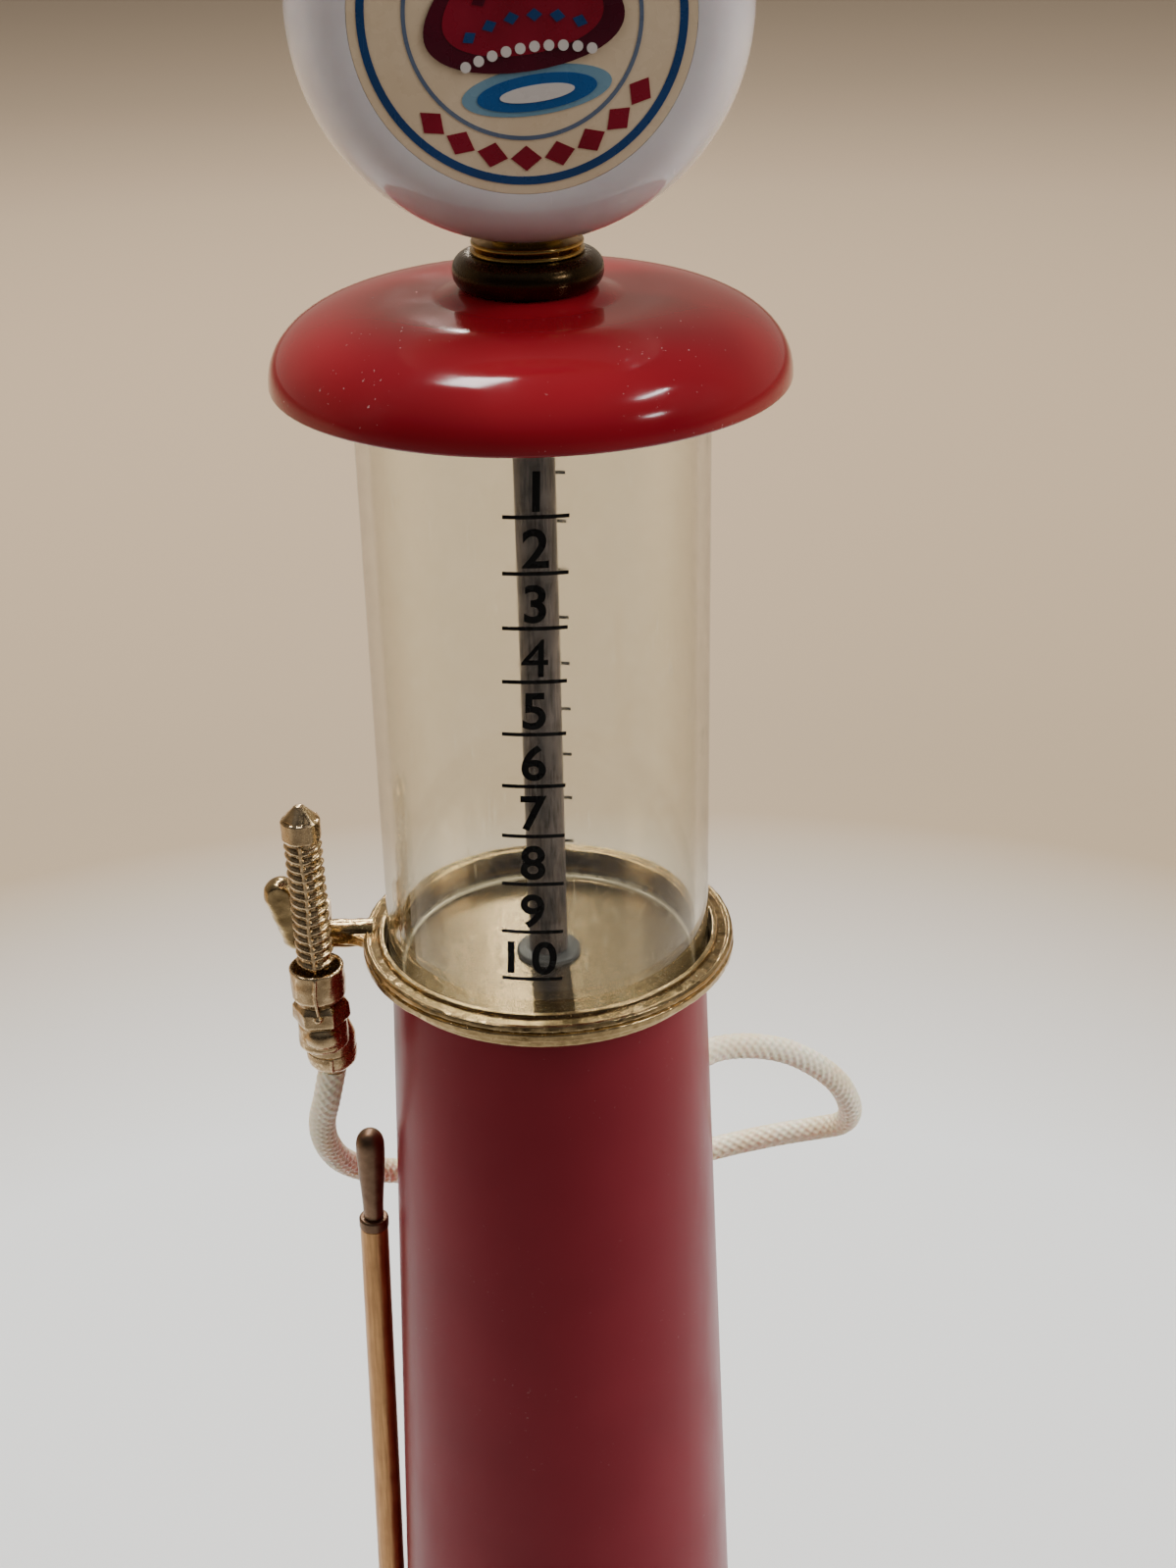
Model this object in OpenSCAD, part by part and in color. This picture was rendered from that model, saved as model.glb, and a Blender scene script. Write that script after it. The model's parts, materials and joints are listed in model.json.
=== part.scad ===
// Miniature visible gas pump: a tapered column on a round foot, a clear fuel cylinder
// with a gauge, a domed cap and a round lamp globe, with a hand lever, a hose and a nozzle.
// The origin is the centre of the pad's underside. +Z is up and -Y faces the customer.

/* [Base and column] */
// Diameter of the round foot
foot_d = 57; // [52:0.5:66]
// Thickness of the pad under the foot
pad_t = 1; // [0.6:0.1:2]
// Height of the column's top face
column_top_z = 127.9; // [124:0.1:130]
// Diameter of the column at its top
column_top_d = 25.06; // [24.6:0.02:25.4]
// How much the column's radius grows for each millimetre down
column_taper = 0.0373; // [0.03:0.0001:0.04]
// Wall of the column
column_wall = 1.6; // [1.2:0.1:2.4]

/* [Fuel cylinder] */
// Outer diameter of the clear cylinder
tube_d = 25.4; // [25:0.1:25.6]
// Wall of the clear cylinder
tube_wall = 1; // [0.8:0.1:1.5]
// Length of the clear cylinder
tube_h = 49.6; // [44:0.1:56]
// Diameter of the standpipe in the middle
pipe_d = 3.05; // [2.4:0.05:3.4]

/* [Collar and nozzle hook] */
// Diameter of the collar's outer flange
collar_d = 29.4; // [29:0.1:31]
// Distance from the pump's centre to the hook's upturned end
hook_reach = 21.3; // [20.8:0.1:23]

/* [Cap and neck] */
// Diameter of the cap's rim
cap_d = 36.7; // [35:0.1:40]
// Height of the cap, from its rim to the flat of its top
cap_h = 5.9; // [5.4:0.1:6.5]
// Outer diameter of the neck's lower ring
neck_d = 10.5; // [9:0.1:12]
// Outer diameter of the neck's sleeve
sleeve_d = 7.8; // [6.6:0.1:8.4]

/* [Globe] */
// Diameter of the lamp globe
globe_d = 30.8; // [26:0.1:36]
// Thickness of the lamp globe, from face to face
globe_t = 13.9; // [11:0.1:16]
// Diameter of each printed lens
lens_d = 22; // [18:0.1:24]
// Angle by which the globe's face is turned to the right
globe_turn = 2.5; // [-180:0.5:180]

/* [Nozzle] */
// Diameter of the ribbed barrel
barrel_d = 2.7; // [2.2:0.05:2.8]
// Diameter of the valve body
valve_d = 4.3; // [3.6:0.1:4.6]
// How far the nozzle leans outwards at the top, in degrees
nozzle_lean = 1.2; // [0:0.1:3]

/* [Hand lever] */
// Height of the lever's pivot
pivot_z = 50; // [46:0.5:54]
// Length from the pivot to the shoulder under the knob
lever_reach = 52.4; // [48:0.1:54]
// Diameter of the lever's rod
rod_d = 2.4; // [2:0.05:2.45]
// Length of the knob
knob_h = 8.9; // [7:0.1:10]

/* [Hose] */
// Diameter of the hose
hose_d = 2.2; // [1.6:0.1:2.4]

/* [Hidden] */

$fn = 64;
slip = 0.05; // running clearance of a turning or sliding fit

// levels, from the surface up
plate_t = 1.1;
cavity_z = pad_t + plate_t; // top of the base plate, and roof of the foot's rim
foot_step_z = 4.2;
foot_web_z = 9;
foot_top_z = 13.4;
collar_web_t = 0.45;
floor_t = 0.45;
floor_z = column_top_z + collar_web_t + floor_t;
seal_t = 0.2;
tube_z = floor_z + seal_t;
gasket_z = tube_z + tube_h;
gasket_t = 0.4;
ceiling_z = gasket_z + gasket_t;
rim_z = ceiling_z - 3.4;
cap_flat_z = rim_z + cap_h;
neck_z = cap_flat_z + 0.5;
ring_h = 2.4;
sleeve_top_z = neck_z + 3.3;
globe_gap = 0.1;
globe_z = sleeve_top_z - globe_gap + globe_d / 2;

// foot and clamp
foot_edge_r = foot_d / 2;
plate_r = foot_edge_r - 3.2;
screw_ring_r = 16;
screw_r = 0.8;
screw_h = 4.6;
screw_boss_r = 1.8;
screw_count = 3;
spigot_r = 14.6;
spigot_wall = 2;
nut_r = 3.2;
nut_h = 2.4;
washer_t = 0.6;
spigot_h = 2;
washer_r = 4.2;
pipe_r = pipe_d / 2;
pipe_hole_r = pipe_r + slip;
pipe_foot_z = 4;
pipe_top_z = neck_z + ring_h - 0.8;
collar_bore_r = tube_d / 2 + 0.27;

// globe
stem_r = 2.45;
stem_hole_r = stem_r + slip;
stem_foot_z = neck_z + ring_h - 0.7;
stem_h = globe_z - globe_d / 2 + 1.2 - stem_foot_z;
lens_t = 0.8;
globe_wall = 1.6;
lens_ledge = 0.8; // how far the seat's shoulder reaches in behind the lens

// nozzle, about the point where it hangs on the arm
hang = [-18.3, -2.9, column_top_z + 2.1];
arm_z = column_top_z + 2.4;
arm_y = 0.3;
arm_r = 0.85;
lift_gap = 0.05;
barrel_foot = -2.2;
barrel_top = 10.65;
tip_r = 1.5;
tip_h = 1.85;
valve_foot = -8.1;
valve_h = 7.45;
ferrule_h = 1.9;
elbow_r = 1.9;

// lever, about its pivot
lever_x = 16.8;
lever_tilt = 1.25;
tab_t = 1.3;
tab_r = 2.1;
boss_r = 2.6;
pin_r = 1;
pin_head_r = 1.7;
rod_foot = 3.2;
stop_r = 0.6;
stop_z = 7.6;

// The hose runs from the outlet at the column's back to the foot of the nozzle.
hose_route = [
    [12, 11, 110], [14.4, 13.2, 109.8], [17.6, 15.4, 108.6], [21, 17.4, 106.6],
    [24, 19.2, 103.8], [26.4, 21.2, 100.4], [27.8, 23.2, 96.8], [28.2, 25.2, 93.8],
    [27.6, 26.6, 91.8], [25.8, 27.6, 90.6], [22, 28.6, 89.2], [17.6, 28.6, 88.2],
    [13.2, 27.6, 87.8], [8.8, 26.2, 88.2], [4.4, 24.6, 89], [0, 22.8, 90.2],
    [-4.4, 21, 91.4], [-8.6, 19, 92.8], [-12.4, 16.8, 94.4], [-15.6, 14, 96.6],
    [-17.8, 10.8, 99.4], [-19.2, 7.4, 103], [-19.8, 4.4, 107], [-19.6, 1.8, 111],
    [-18.7, -0.5, 115], [-17.8, -1.6, 119]
];
hose_sides = 8;
outlet_point = hose_route[0];
hose_foot = hose_route[len(hose_route) - 1];
outlet_turn = atan2(outlet_point[1], outlet_point[0]);
outlet_reach = norm([outlet_point[0], outlet_point[1]]);
outlet_face = 14.2; // distance of the flange's face from the pump's axis
nipple_h = 0.9;

function column_r(z) = column_top_d / 2 + column_taper * (column_top_z - z);

// Points of a rounded corner: a quarter of a superellipse with half-axes a and b
// about [x, z], from angle a0 to a1. A power of 2 is a plain ellipse.
function corner(x, z, a, b, a0, a1, power = 2, steps = 10) = [
    for (i = [0:steps])
        let (t = a0 + (a1 - a0) * i / steps, c = cos(t), s = sin(t))
        [x + a * sign(c) * pow(abs(c), 2 / power), z + b * sign(s) * pow(abs(s), 2 / power)]
];

module along_x(from, to, r) {
    translate([from, 0, 0]) rotate([0, 90, 0]) cylinder(h = to - from, r = r);
}

module ring(outer_r, inner_r, h) {
    difference() {
        cylinder(h = h, r = outer_r);
        translate([0, 0, -1]) cylinder(h = h + 2, r = inner_r);
    }
}

module column_cone() {
    translate([0, 0, foot_top_z])
        cylinder(h = column_top_z - foot_top_z, r1 = column_r(foot_top_z), r2 = column_r(column_top_z));
}

module at_screws() {
    for (i = [0:screw_count - 1])
        rotate([0, 0, 360 * i / screw_count]) translate([screw_ring_r, 0, 0]) children();
}

// ---- base ----

module base_pad() {
    color("dimgray") cylinder(h = pad_t, r = foot_d / 2 - 0.6);
}

module base_plate() {
    color("silver") translate([0, 0, pad_t]) difference() {
        cylinder(h = plate_t, r = plate_r - slip);
        at_screws() translate([0, 0, -1]) cylinder(h = plate_t + 2, r = screw_r);
    }
}

module base_screws() {
    color("gray") at_screws() translate([0, 0, pad_t]) cylinder(h = screw_h, r = screw_r);
}

// A flat rim, a cove that sweeps up from it, a rolled edge, and a spigot inside the column.
module foot() {
    roll_r = 1.2;
    roll_x = 17.4;
    cove_x = 26;
    cove_w = 7.6;
    cove_h = 6.6;
    color("firebrick") difference() {
        union() {
            rotate_extrude() polygon(concat(
                [[pipe_hole_r, foot_web_z], [13, foot_web_z], [19, 5.4], [22.5, 3.3], [22.5, cavity_z],
                 [plate_r, cavity_z], [plate_r, pad_t], [foot_edge_r, pad_t]],
                corner(foot_edge_r - 1, foot_step_z - 1, 1, 1, 0, 90, 2, 6),
                [for (i = [1:10]) let (t = 90 * i / 10)
                    [cove_x - cove_w * sin(t), foot_step_z + cove_h * (1 - cos(t))]],
                corner(roll_x, foot_top_z - roll_r, roll_r, roll_r, -60, 90, 2, 8),
                [[spigot_r, foot_top_z], [spigot_r, foot_top_z + spigot_h],
                 [spigot_r - spigot_wall, foot_top_z + spigot_h], [spigot_r - spigot_wall, foot_top_z],
                 [pipe_hole_r, foot_top_z]]
            ));
            at_screws() translate([0, 0, cavity_z]) cylinder(h = foot_web_z - cavity_z, r = screw_boss_r);
        }
        at_screws() cylinder(h = pad_t + screw_h, r = screw_r);
    }
}

module clamp_washer() {
    color("silver") translate([0, 0, foot_web_z - washer_t]) ring(washer_r, pipe_hole_r, washer_t);
}

module clamp_nut() {
    color("silver") translate([0, 0, foot_web_z - washer_t - nut_h]) difference() {
        cylinder(h = nut_h, r = nut_r, $fn = 6);
        translate([0, 0, -1]) cylinder(h = nut_h + 2, r = pipe_r);
    }
}

// ---- column and collar ----

module column() {
    web_z = column_top_z - 3;
    color("firebrick") difference() {
        rotate_extrude() polygon([
            [column_r(foot_top_z) - column_wall, foot_top_z], [column_r(foot_top_z), foot_top_z],
            [column_r(column_top_z - 0.3), column_top_z - 0.3],
            [column_r(column_top_z) - 0.3, column_top_z],
            [pipe_hole_r, column_top_z], [pipe_hole_r, web_z],
            [column_r(web_z) - column_wall, web_z]
        ]);
        translate([0, 0, pivot_z]) along_x(-lever_x, -10, pin_r);
    }
}

module collar() {
    edge = collar_d / 2;
    z = column_top_z;
    color("goldenrod") {
        rotate_extrude($fn = 96) polygon(concat(
            [[pipe_hole_r, z], [13.1, z], [13.4, z + 0.3], [13.5, z + 1.3], [edge - 0.4, z + 1.5]],
            corner(edge - 0.3, z + 1.9, 0.3, 0.35, -70, 0, 2, 4),
            corner(edge - 0.3, z + 2.4, 0.3, 0.3, 0, 70, 2, 4),
            corner(edge - 0.75, z + 2.55, 0.35, 0.4, 30, 150, 2, 6),
            [[13.6, z + 2.4], [13.4, z + 2.75]],
            corner(13.15, z + 2.9, 0.18, 0.2, 20, 160, 2, 5),
            [[collar_bore_r, z + 2.7], [collar_bore_r, z + collar_web_t], [pipe_hole_r, z + collar_web_t]]
        ));
        hook_arm();
    }
}

// The arm is two ribs, one over the other, on a web that flares into the ring.
// It ends in a thick upturned finger.
module hook_arm() {
    bend_x = hook_reach - 1.1;
    flare = 2.8; // radius of the web's fillets
    root_x = 13.9;
    tip_x = root_x + flare;
    translate([0, arm_y, arm_z]) {
        translate([0, 0, 0.35]) along_x(-bend_x, -root_x, arm_r);
        translate([0, 0, -0.55]) along_x(-bend_x, -root_x, 0.7);
        translate([0, 0, -0.7]) linear_extrude(1.2) polygon(concat(
            [for (i = [8:-1:0]) let (t = 90 * i / 8) [flare * sin(t) - tip_x, -0.7 - flare * (1 - cos(t))]],
            [for (i = [0:8]) let (t = 90 * i / 8) [flare * sin(t) - tip_x, 0.7 + flare * (1 - cos(t))]]
        ));
        translate([-bend_x, 0, 0.1]) rotate([0, -22, 0]) rotate_extrude() polygon(concat(
            corner(0, 0, 1.3, 1.3, -90, 0, 2, 6), corner(0, 3.8, 1.4, 1.4, 0, 90, 2, 6)
        ));
    }
}

module floor_plate() {
    color("darkkhaki") translate([0, 0, column_top_z + collar_web_t])
        ring(collar_bore_r - 0.02, pipe_hole_r, floor_t);
}

// ---- fuel cylinder ----

module tube_seal() {
    color("ivory") translate([0, 0, floor_z]) ring(tube_d / 2 + 0.05, tube_d / 2 - tube_wall - 0.1, seal_t);
}

module fuel_cylinder() {
    color([0.9, 0.92, 0.85, 0.4]) translate([0, 0, tube_z])
        ring(tube_d / 2, tube_d / 2 - tube_wall, tube_h, $fn = 96);
}

module standpipe() {
    color("slategray") translate([0, 0, pipe_foot_z])
        cylinder(h = pipe_top_z - pipe_foot_z, r = pipe_r);
}

module pipe_grommet() {
    color("dimgray") translate([0, 0, floor_z]) rotate_extrude() polygon(concat(
        [[pipe_r, 0], [2.9, 0]], corner(2.5, 0.1, 0.4, 0.35, 0, 90, 2, 5), [[pipe_r, 0.45]]
    ));
}

// ---- cap and neck ----

module cap_gasket() {
    color("dimgray") translate([0, 0, gasket_z]) ring(13, 11.4, gasket_t);
}

module cap() {
    edge = cap_d / 2;
    shoulder = edge - 9.2;
    color("crimson") rotate_extrude($fn = 96) polygon(concat(
        [[pipe_hole_r, ceiling_z], [14.2, ceiling_z]],
        corner(14.2, rim_z + 0.3, edge - 14.2 - 1, ceiling_z - rim_z - 0.3, 90, 0, 2, 8),
        corner(edge - 0.45, rim_z + 0.3, 0.45, 0.3, 180, 360, 2, 8),
        corner(edge - shoulder, rim_z + 0.3, shoulder, cap_h - 0.3, 0, 90, 2.2, 18),
        [[neck_d / 2 - 0.3, neck_z], [pipe_hole_r, neck_z]]
    ));
}

module neck_ring() {
    r = ring_h / 2;
    color("darkgoldenrod") translate([0, 0, neck_z]) rotate_extrude() polygon(concat(
        [[pipe_r, 0], [neck_d / 2 - 0.9, 0]],
        corner(neck_d / 2 - 0.9, r, 0.9, r, -80, 80, 2.4, 12),
        [[neck_d / 2 - 0.9, ring_h], [stem_hole_r, ring_h], [stem_hole_r, ring_h - 0.75],
         [pipe_r, ring_h - 0.75]]
    ));
}

module neck_sleeve() {
    h = sleeve_top_z - neck_z - ring_h;
    color("goldenrod") translate([0, 0, neck_z + ring_h]) rotate_extrude() polygon([
        [stem_hole_r, 0], [sleeve_d / 2 - 0.2, 0], [sleeve_d / 2, 0.3], [sleeve_d / 2, h - 0.2],
        [sleeve_d / 2 - 0.2, h], [stem_hole_r, h]
    ]);
}

// ---- globe ----

module at_globe() {
    translate([0, 0, globe_z]) rotate([0, 0, globe_turn]) rotate([90, 0, 0]) children();
}

module globe_stem() {
    color("goldenrod") translate([0, 0, stem_foot_z]) cylinder(h = stem_h, r = stem_r);
}

// A drum with a full round rim, open at both faces where the lenses sit.
module globe_body() {
    face_r = lens_d / 2;
    hole_r = face_r - lens_ledge;
    rim = globe_d / 2 - face_r;
    half = globe_t / 2;
    color("whitesmoke") difference() {
        at_globe() rotate_extrude($fn = 128) polygon(concat(
            [[face_r, -half]],
            corner(face_r, 0, rim, half, -86, 86, 2.4, 24),
            [[face_r, half], [face_r, half - lens_t], [hole_r, half - lens_t], [hole_r, half - lens_t - 1]],
            corner(hole_r, 0, rim + lens_ledge - globe_wall, half - globe_wall, 80, -80, 2.4, 12),
            [[hole_r, 1 + lens_t - half], [hole_r, lens_t - half], [face_r, lens_t - half]]
        ));
        translate([0, 0, stem_foot_z]) cylinder(h = stem_h, r = stem_r);
    }
}

module lens_front() {
    color("wheat") at_globe() translate([0, 0, globe_t / 2 - lens_t])
        cylinder(h = lens_t, r = lens_d / 2, $fn = 96);
}

module lens_back() {
    color("wheat") at_globe() translate([0, 0, -globe_t / 2])
        cylinder(h = lens_t, r = lens_d / 2, $fn = 96);
}

// ---- nozzle ----

module at_nozzle() {
    translate(hang) rotate([0, -nozzle_lean, 0]) children();
}

module nozzle_tip() {
    color("goldenrod") at_nozzle() {
        translate([0, 0, barrel_top]) cylinder(h = tip_h, r = tip_r);
        translate([0, 0, barrel_top + tip_h]) cylinder(h = 1.1, r1 = tip_r, r2 = 0.15);
    }
}

module nozzle_barrel() {
    ribs = 14;
    pitch = 0.78;
    rib_foot = -0.45;
    r = barrel_d / 2;
    color("goldenrod") at_nozzle() rotate_extrude() polygon(concat(
        [[0, barrel_foot], [r - 0.15, barrel_foot]],
        [for (i = [0:ribs - 1], p = [[-0.15, 0], [0.05, 0.2], [0.05, 0.45], [-0.15, 0.6]])
            [r + p[0], rib_foot + i * pitch + p[1]]],
        [[r - 0.15, barrel_top], [0, barrel_top]]
    ));
}

// The valve is a round cup above and is cut to slanted flats below.
module nozzle_valve() {
    r = valve_d / 2;
    color("goldenrod") at_nozzle() difference() {
        translate([0, 0, valve_foot]) cylinder(h = valve_h, r = r);
        translate([0, 0, barrel_foot]) cylinder(h = 2, r = barrel_d / 2 + 0.35);
        for (side = [-1, 1])
            rotate([0, 0, side * 42]) translate([-4, -r - 1.9, valve_foot - 1]) rotate([-14, 0, 0])
                cube([8, 2, 6]);
    }
}

// A saddle behind the barrel that drops over the arm.
module nozzle_lug() {
    top = arm_z + 1.2 - hang[2];
    foot = valve_foot + valve_h + slip;
    inner = arm_y + arm_r + lift_gap - hang[1];
    color("goldenrod") at_nozzle() difference() {
        translate([-0.95, 0.9, foot]) cube([1.9, inner + 0.7 - 0.9, top + 1.1 - foot]);
        translate([-2, arm_y - arm_r - lift_gap - hang[1], top - 4])
            cube([4, 2 * (arm_r + lift_gap), 4 + lift_gap]);
        translate([0, 0, top - 4]) cylinder(h = 6, r = barrel_d / 2 + 0.05);
    }
}

// A domed knuckle between the hose's ferrule and the valve.
module nozzle_elbow() {
    color("goldenrod") difference() {
        translate([hose_foot[0], hose_foot[1], hose_foot[2] + ferrule_h]) rotate_extrude() polygon(concat(
            [[0, 0], [elbow_r, 0]], corner(0, 1.5, elbow_r, 1.5, 0, 90, 2, 10)
        ));
        at_nozzle() translate([0, 0, valve_foot]) cylinder(h = valve_h, r = valve_d / 2);
    }
}

module nozzle_ferrule() {
    color("goldenrod") translate(hose_foot) rotate_extrude() polygon(concat(
        [[0, 0], [1.3, 0]], corner(1.3, 0.9, 0.8, 0.9, -90, 0, 2, 6),
        [[2.1, 1.5], [1.8, ferrule_h], [0, ferrule_h]]
    ));
}

// ---- hose ----

// The tube's sections keep the turn of the section before, so the tube doesn't twist.
function run_of(i) = let (n = len(hose_route) - 1)
    i == 0 ? [cos(outlet_turn), sin(outlet_turn), 0]
    : i == n ? [0, 0, 1]
    : hose_route[i + 1] - hose_route[i - 1];
function unit(v) = v / norm(v);
function next_side(side, run) = unit(side - run * (side * run));
function sides_of(i) = i == 0 ? [0, 0, 1] : next_side(sides_of(i - 1), unit(run_of(i)));

module hose() {
    n = len(hose_route);
    m = hose_sides;
    points = [for (i = [0:n - 1]) let (run = unit(run_of(i)), a = sides_of(i), b = cross(run, a))
        for (k = [0:m - 1])
            hose_route[i] + hose_d / 2 * (cos(360 * k / m) * a + sin(360 * k / m) * b)];
    walls = [for (i = [0:n - 2], k = [0:m - 1])
        let (p = i * m + k, q = i * m + (k + 1) % m) [p, p + m, q + m, q]];
    ends = [[for (k = [0:m - 1]) k], [for (k = [m - 1:-1:0]) (n - 1) * m + k]];
    color("linen") polyhedron(points = points, faces = concat(walls, ends));
}

module at_outlet() {
    translate([0, 0, outlet_point[2]]) rotate([0, 0, outlet_turn]) children();
}

module outlet_flange() {
    color("goldenrod") difference() {
        at_outlet() along_x(11, outlet_face, 2.6);
        column_cone($fn = 256);
    }
}

module outlet_nipple() {
    color("goldenrod") at_outlet() along_x(outlet_face, outlet_face + nipple_h, 1.5);
}

module outlet_ferrule() {
    color("goldenrod") at_outlet() along_x(outlet_face + nipple_h, outlet_reach, 1.7);
}

// ---- hand lever ----

module at_pivot() {
    translate([-lever_x, 0, pivot_z]) children();
}

module lever_boss() {
    color("goldenrod") difference() {
        translate([0, 0, pivot_z]) along_x(-lever_x + tab_t / 2 + 0.3, -12, boss_r, $fn = 256);
        column_cone($fn = 256);
        translate([0, 0, pivot_z]) along_x(-lever_x, -10, pin_r);
    }
}

module lever_washer() {
    color("silver") at_pivot() translate([tab_t / 2 + 0.05, 0, 0]) rotate([0, 90, 0])
        ring(1.9, pin_r, 0.25);
}

module lever_pin() {
    outer = -lever_x - tab_t / 2 - 0.05;
    color("silver") translate([0, 0, pivot_z]) {
        along_x(outer, -13.6, pin_r);
        along_x(outer - 0.8, outer, pin_head_r);
    }
}

module lever_stop() {
    color("silver") difference() {
        translate([0, rod_d / 2 + stop_r + lift_gap, pivot_z + stop_z]) along_x(-lever_x - 0.4, -12, stop_r);
        column_cone($fn = 256);
    }
}

module lever_rod() {
    color("peru") difference() {
        union() {
            at_pivot() along_x(-tab_t / 2, tab_t / 2, tab_r);
            at_pivot() translate([-tab_t / 2, -rod_d / 2, 0]) cube([tab_t, rod_d, rod_foot + 0.4]);
            at_pivot() rotate([0, lever_tilt, 0]) translate([0, 0, rod_foot])
                cylinder(h = lever_reach - 1 - rod_foot, r = rod_d / 2);
        }
        at_pivot() along_x(-2, 2, pin_r + slip);
    }
}

module lever_ferrule() {
    color("darkgoldenrod") at_pivot() rotate([0, lever_tilt, 0]) translate([0, 0, lever_reach - 1])
        cylinder(h = 1, r = rod_d / 2 + 0.06);
}

module lever_knob() {
    color("olive") at_pivot() rotate([0, lever_tilt, 0]) translate([0, 0, lever_reach])
        rotate_extrude() polygon(concat(
            [[0, 0], [0.85, 0]],
            [for (i = [1:6]) [0.85 + 0.35 * sin(15 * i), (knob_h - 1.9) * i / 6]],
            corner(0, knob_h - 1.5, 1.2, 1.5, 0, 90, 2, 8)
        ));
}

base_pad();
base_plate();
base_screws();
foot();
clamp_washer();
clamp_nut();
column();
collar();
floor_plate();
tube_seal();
fuel_cylinder();
standpipe();
pipe_grommet();
cap_gasket();
cap();
neck_ring();
neck_sleeve();
globe_stem();
globe_body();
lens_front();
lens_back();
nozzle_tip();
nozzle_barrel();
nozzle_valve();
nozzle_lug();
nozzle_elbow();
nozzle_ferrule();
hose();
outlet_flange();
outlet_nipple();
outlet_ferrule();
lever_boss();
lever_pin();
lever_washer();
lever_stop();
lever_rod();
lever_ferrule();
lever_knob();
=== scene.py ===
import json
import math

import bmesh
import bpy
from mathutils import Matrix, Vector, noise


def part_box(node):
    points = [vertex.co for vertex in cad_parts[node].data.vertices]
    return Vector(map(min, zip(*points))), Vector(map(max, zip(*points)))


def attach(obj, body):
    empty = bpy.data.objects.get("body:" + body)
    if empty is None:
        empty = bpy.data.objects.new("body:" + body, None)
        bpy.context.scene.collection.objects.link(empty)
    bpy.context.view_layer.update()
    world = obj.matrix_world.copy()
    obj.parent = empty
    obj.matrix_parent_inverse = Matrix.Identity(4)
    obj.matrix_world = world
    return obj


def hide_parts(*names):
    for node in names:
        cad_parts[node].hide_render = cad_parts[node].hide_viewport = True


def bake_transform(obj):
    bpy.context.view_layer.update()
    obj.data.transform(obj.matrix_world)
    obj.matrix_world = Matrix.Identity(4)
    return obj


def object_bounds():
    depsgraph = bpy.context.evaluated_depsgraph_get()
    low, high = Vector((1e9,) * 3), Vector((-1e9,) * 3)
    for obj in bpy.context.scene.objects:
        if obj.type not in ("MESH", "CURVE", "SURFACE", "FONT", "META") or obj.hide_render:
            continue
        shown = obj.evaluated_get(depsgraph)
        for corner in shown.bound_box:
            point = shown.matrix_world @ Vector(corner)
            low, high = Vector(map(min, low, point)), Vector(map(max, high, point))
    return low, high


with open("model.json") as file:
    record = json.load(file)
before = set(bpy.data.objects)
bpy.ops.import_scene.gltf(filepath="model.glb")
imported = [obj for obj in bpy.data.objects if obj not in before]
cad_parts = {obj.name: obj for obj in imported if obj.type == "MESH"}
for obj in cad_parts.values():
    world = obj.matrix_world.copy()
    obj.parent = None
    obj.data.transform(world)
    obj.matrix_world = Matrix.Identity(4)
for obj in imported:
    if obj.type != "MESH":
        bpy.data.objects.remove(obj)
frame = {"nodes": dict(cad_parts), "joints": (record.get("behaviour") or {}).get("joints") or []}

cadLow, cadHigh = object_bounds()
mm = 0.001  # settings are in millimetres or degrees; finishPiece scales a mesh to metres
radians = math.radians
slip = 0.05    # gap round the rods


# ---------- frame helpers

def cadBox(node):
    low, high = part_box(node)
    low, high = low / mm, high / mm
    return {"low": low, "high": high, "mid": (low + high) / 2, "r": (high.x - low.x) / 2}


pipeHole = cadBox("standpipe")["r"] + slip


def axisFrame(origin, tip):
    # matrix whose Z runs from origin to tip and whose Y stays towards the back
    up = (tip - origin).normalized()
    side = Vector((0, 1, 0)).cross(up).normalized()
    back = up.cross(side)
    turn = Matrix((side, back, up)).transposed().to_4x4()
    return Matrix.Translation(origin) @ turn


# ---------- mesh helpers, all in millimetres

def meshObject(name, verts, faces, sharp=40):
    mesh = bpy.data.meshes.new(name)
    mesh.from_pydata([tuple(v) for v in verts], [], faces)
    obj = bpy.data.objects.new(name, mesh)
    bpy.context.scene.collection.objects.link(obj)
    tidyMesh(obj, sharp)
    return obj


def tidyMesh(obj, sharp=40):
    work = bmesh.new()
    work.from_mesh(obj.data)
    bmesh.ops.remove_doubles(work, verts=work.verts, dist=0.0005)
    bmesh.ops.recalc_face_normals(work, faces=work.faces)
    for face in work.faces:
        face.smooth = True
    for edge in work.edges:
        edge.smooth = edge.calc_face_angle(0) < radians(sharp)
    work.to_mesh(obj.data)
    work.free()


def fillet(corners, steps=6):
    # corners are (r, z) or (r, z, radius) round a closed outline; a radius rounds that corner
    points = []
    for i, corner in enumerate(corners):
        here = Vector(corner[:2])
        if len(corner) < 3:
            points.append(here)
            continue
        before = Vector(corners[i - 1][:2]) - here
        after = Vector(corners[(i + 1) % len(corners)][:2]) - here
        half = before.angle(after) / 2
        reach = min(corner[2] / math.tan(half), 0.49 * before.length, 0.49 * after.length)
        radius = reach * math.tan(half)
        centre = here + (before.normalized() + after.normalized()).normalized() * radius / math.sin(half)
        first = here + before.normalized() * reach - centre
        last = here + after.normalized() * reach - centre
        start = math.atan2(first.y, first.x)
        sweep = (math.atan2(last.y, last.x) - start + math.pi) % (2 * math.pi) - math.pi
        flatEnd = [side.normalized() * min(0.05, 0.01 * side.length) for side in (before, after)]
        points.append(centre + first + flatEnd[0])    # keeps the flat beside the arc flat
        for k in range(steps + 1):
            angle = start + sweep * k / steps
            points.append(centre + radius * Vector((math.cos(angle), math.sin(angle))))
        points.append(centre + last + flatEnd[1])
    return points


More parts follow.
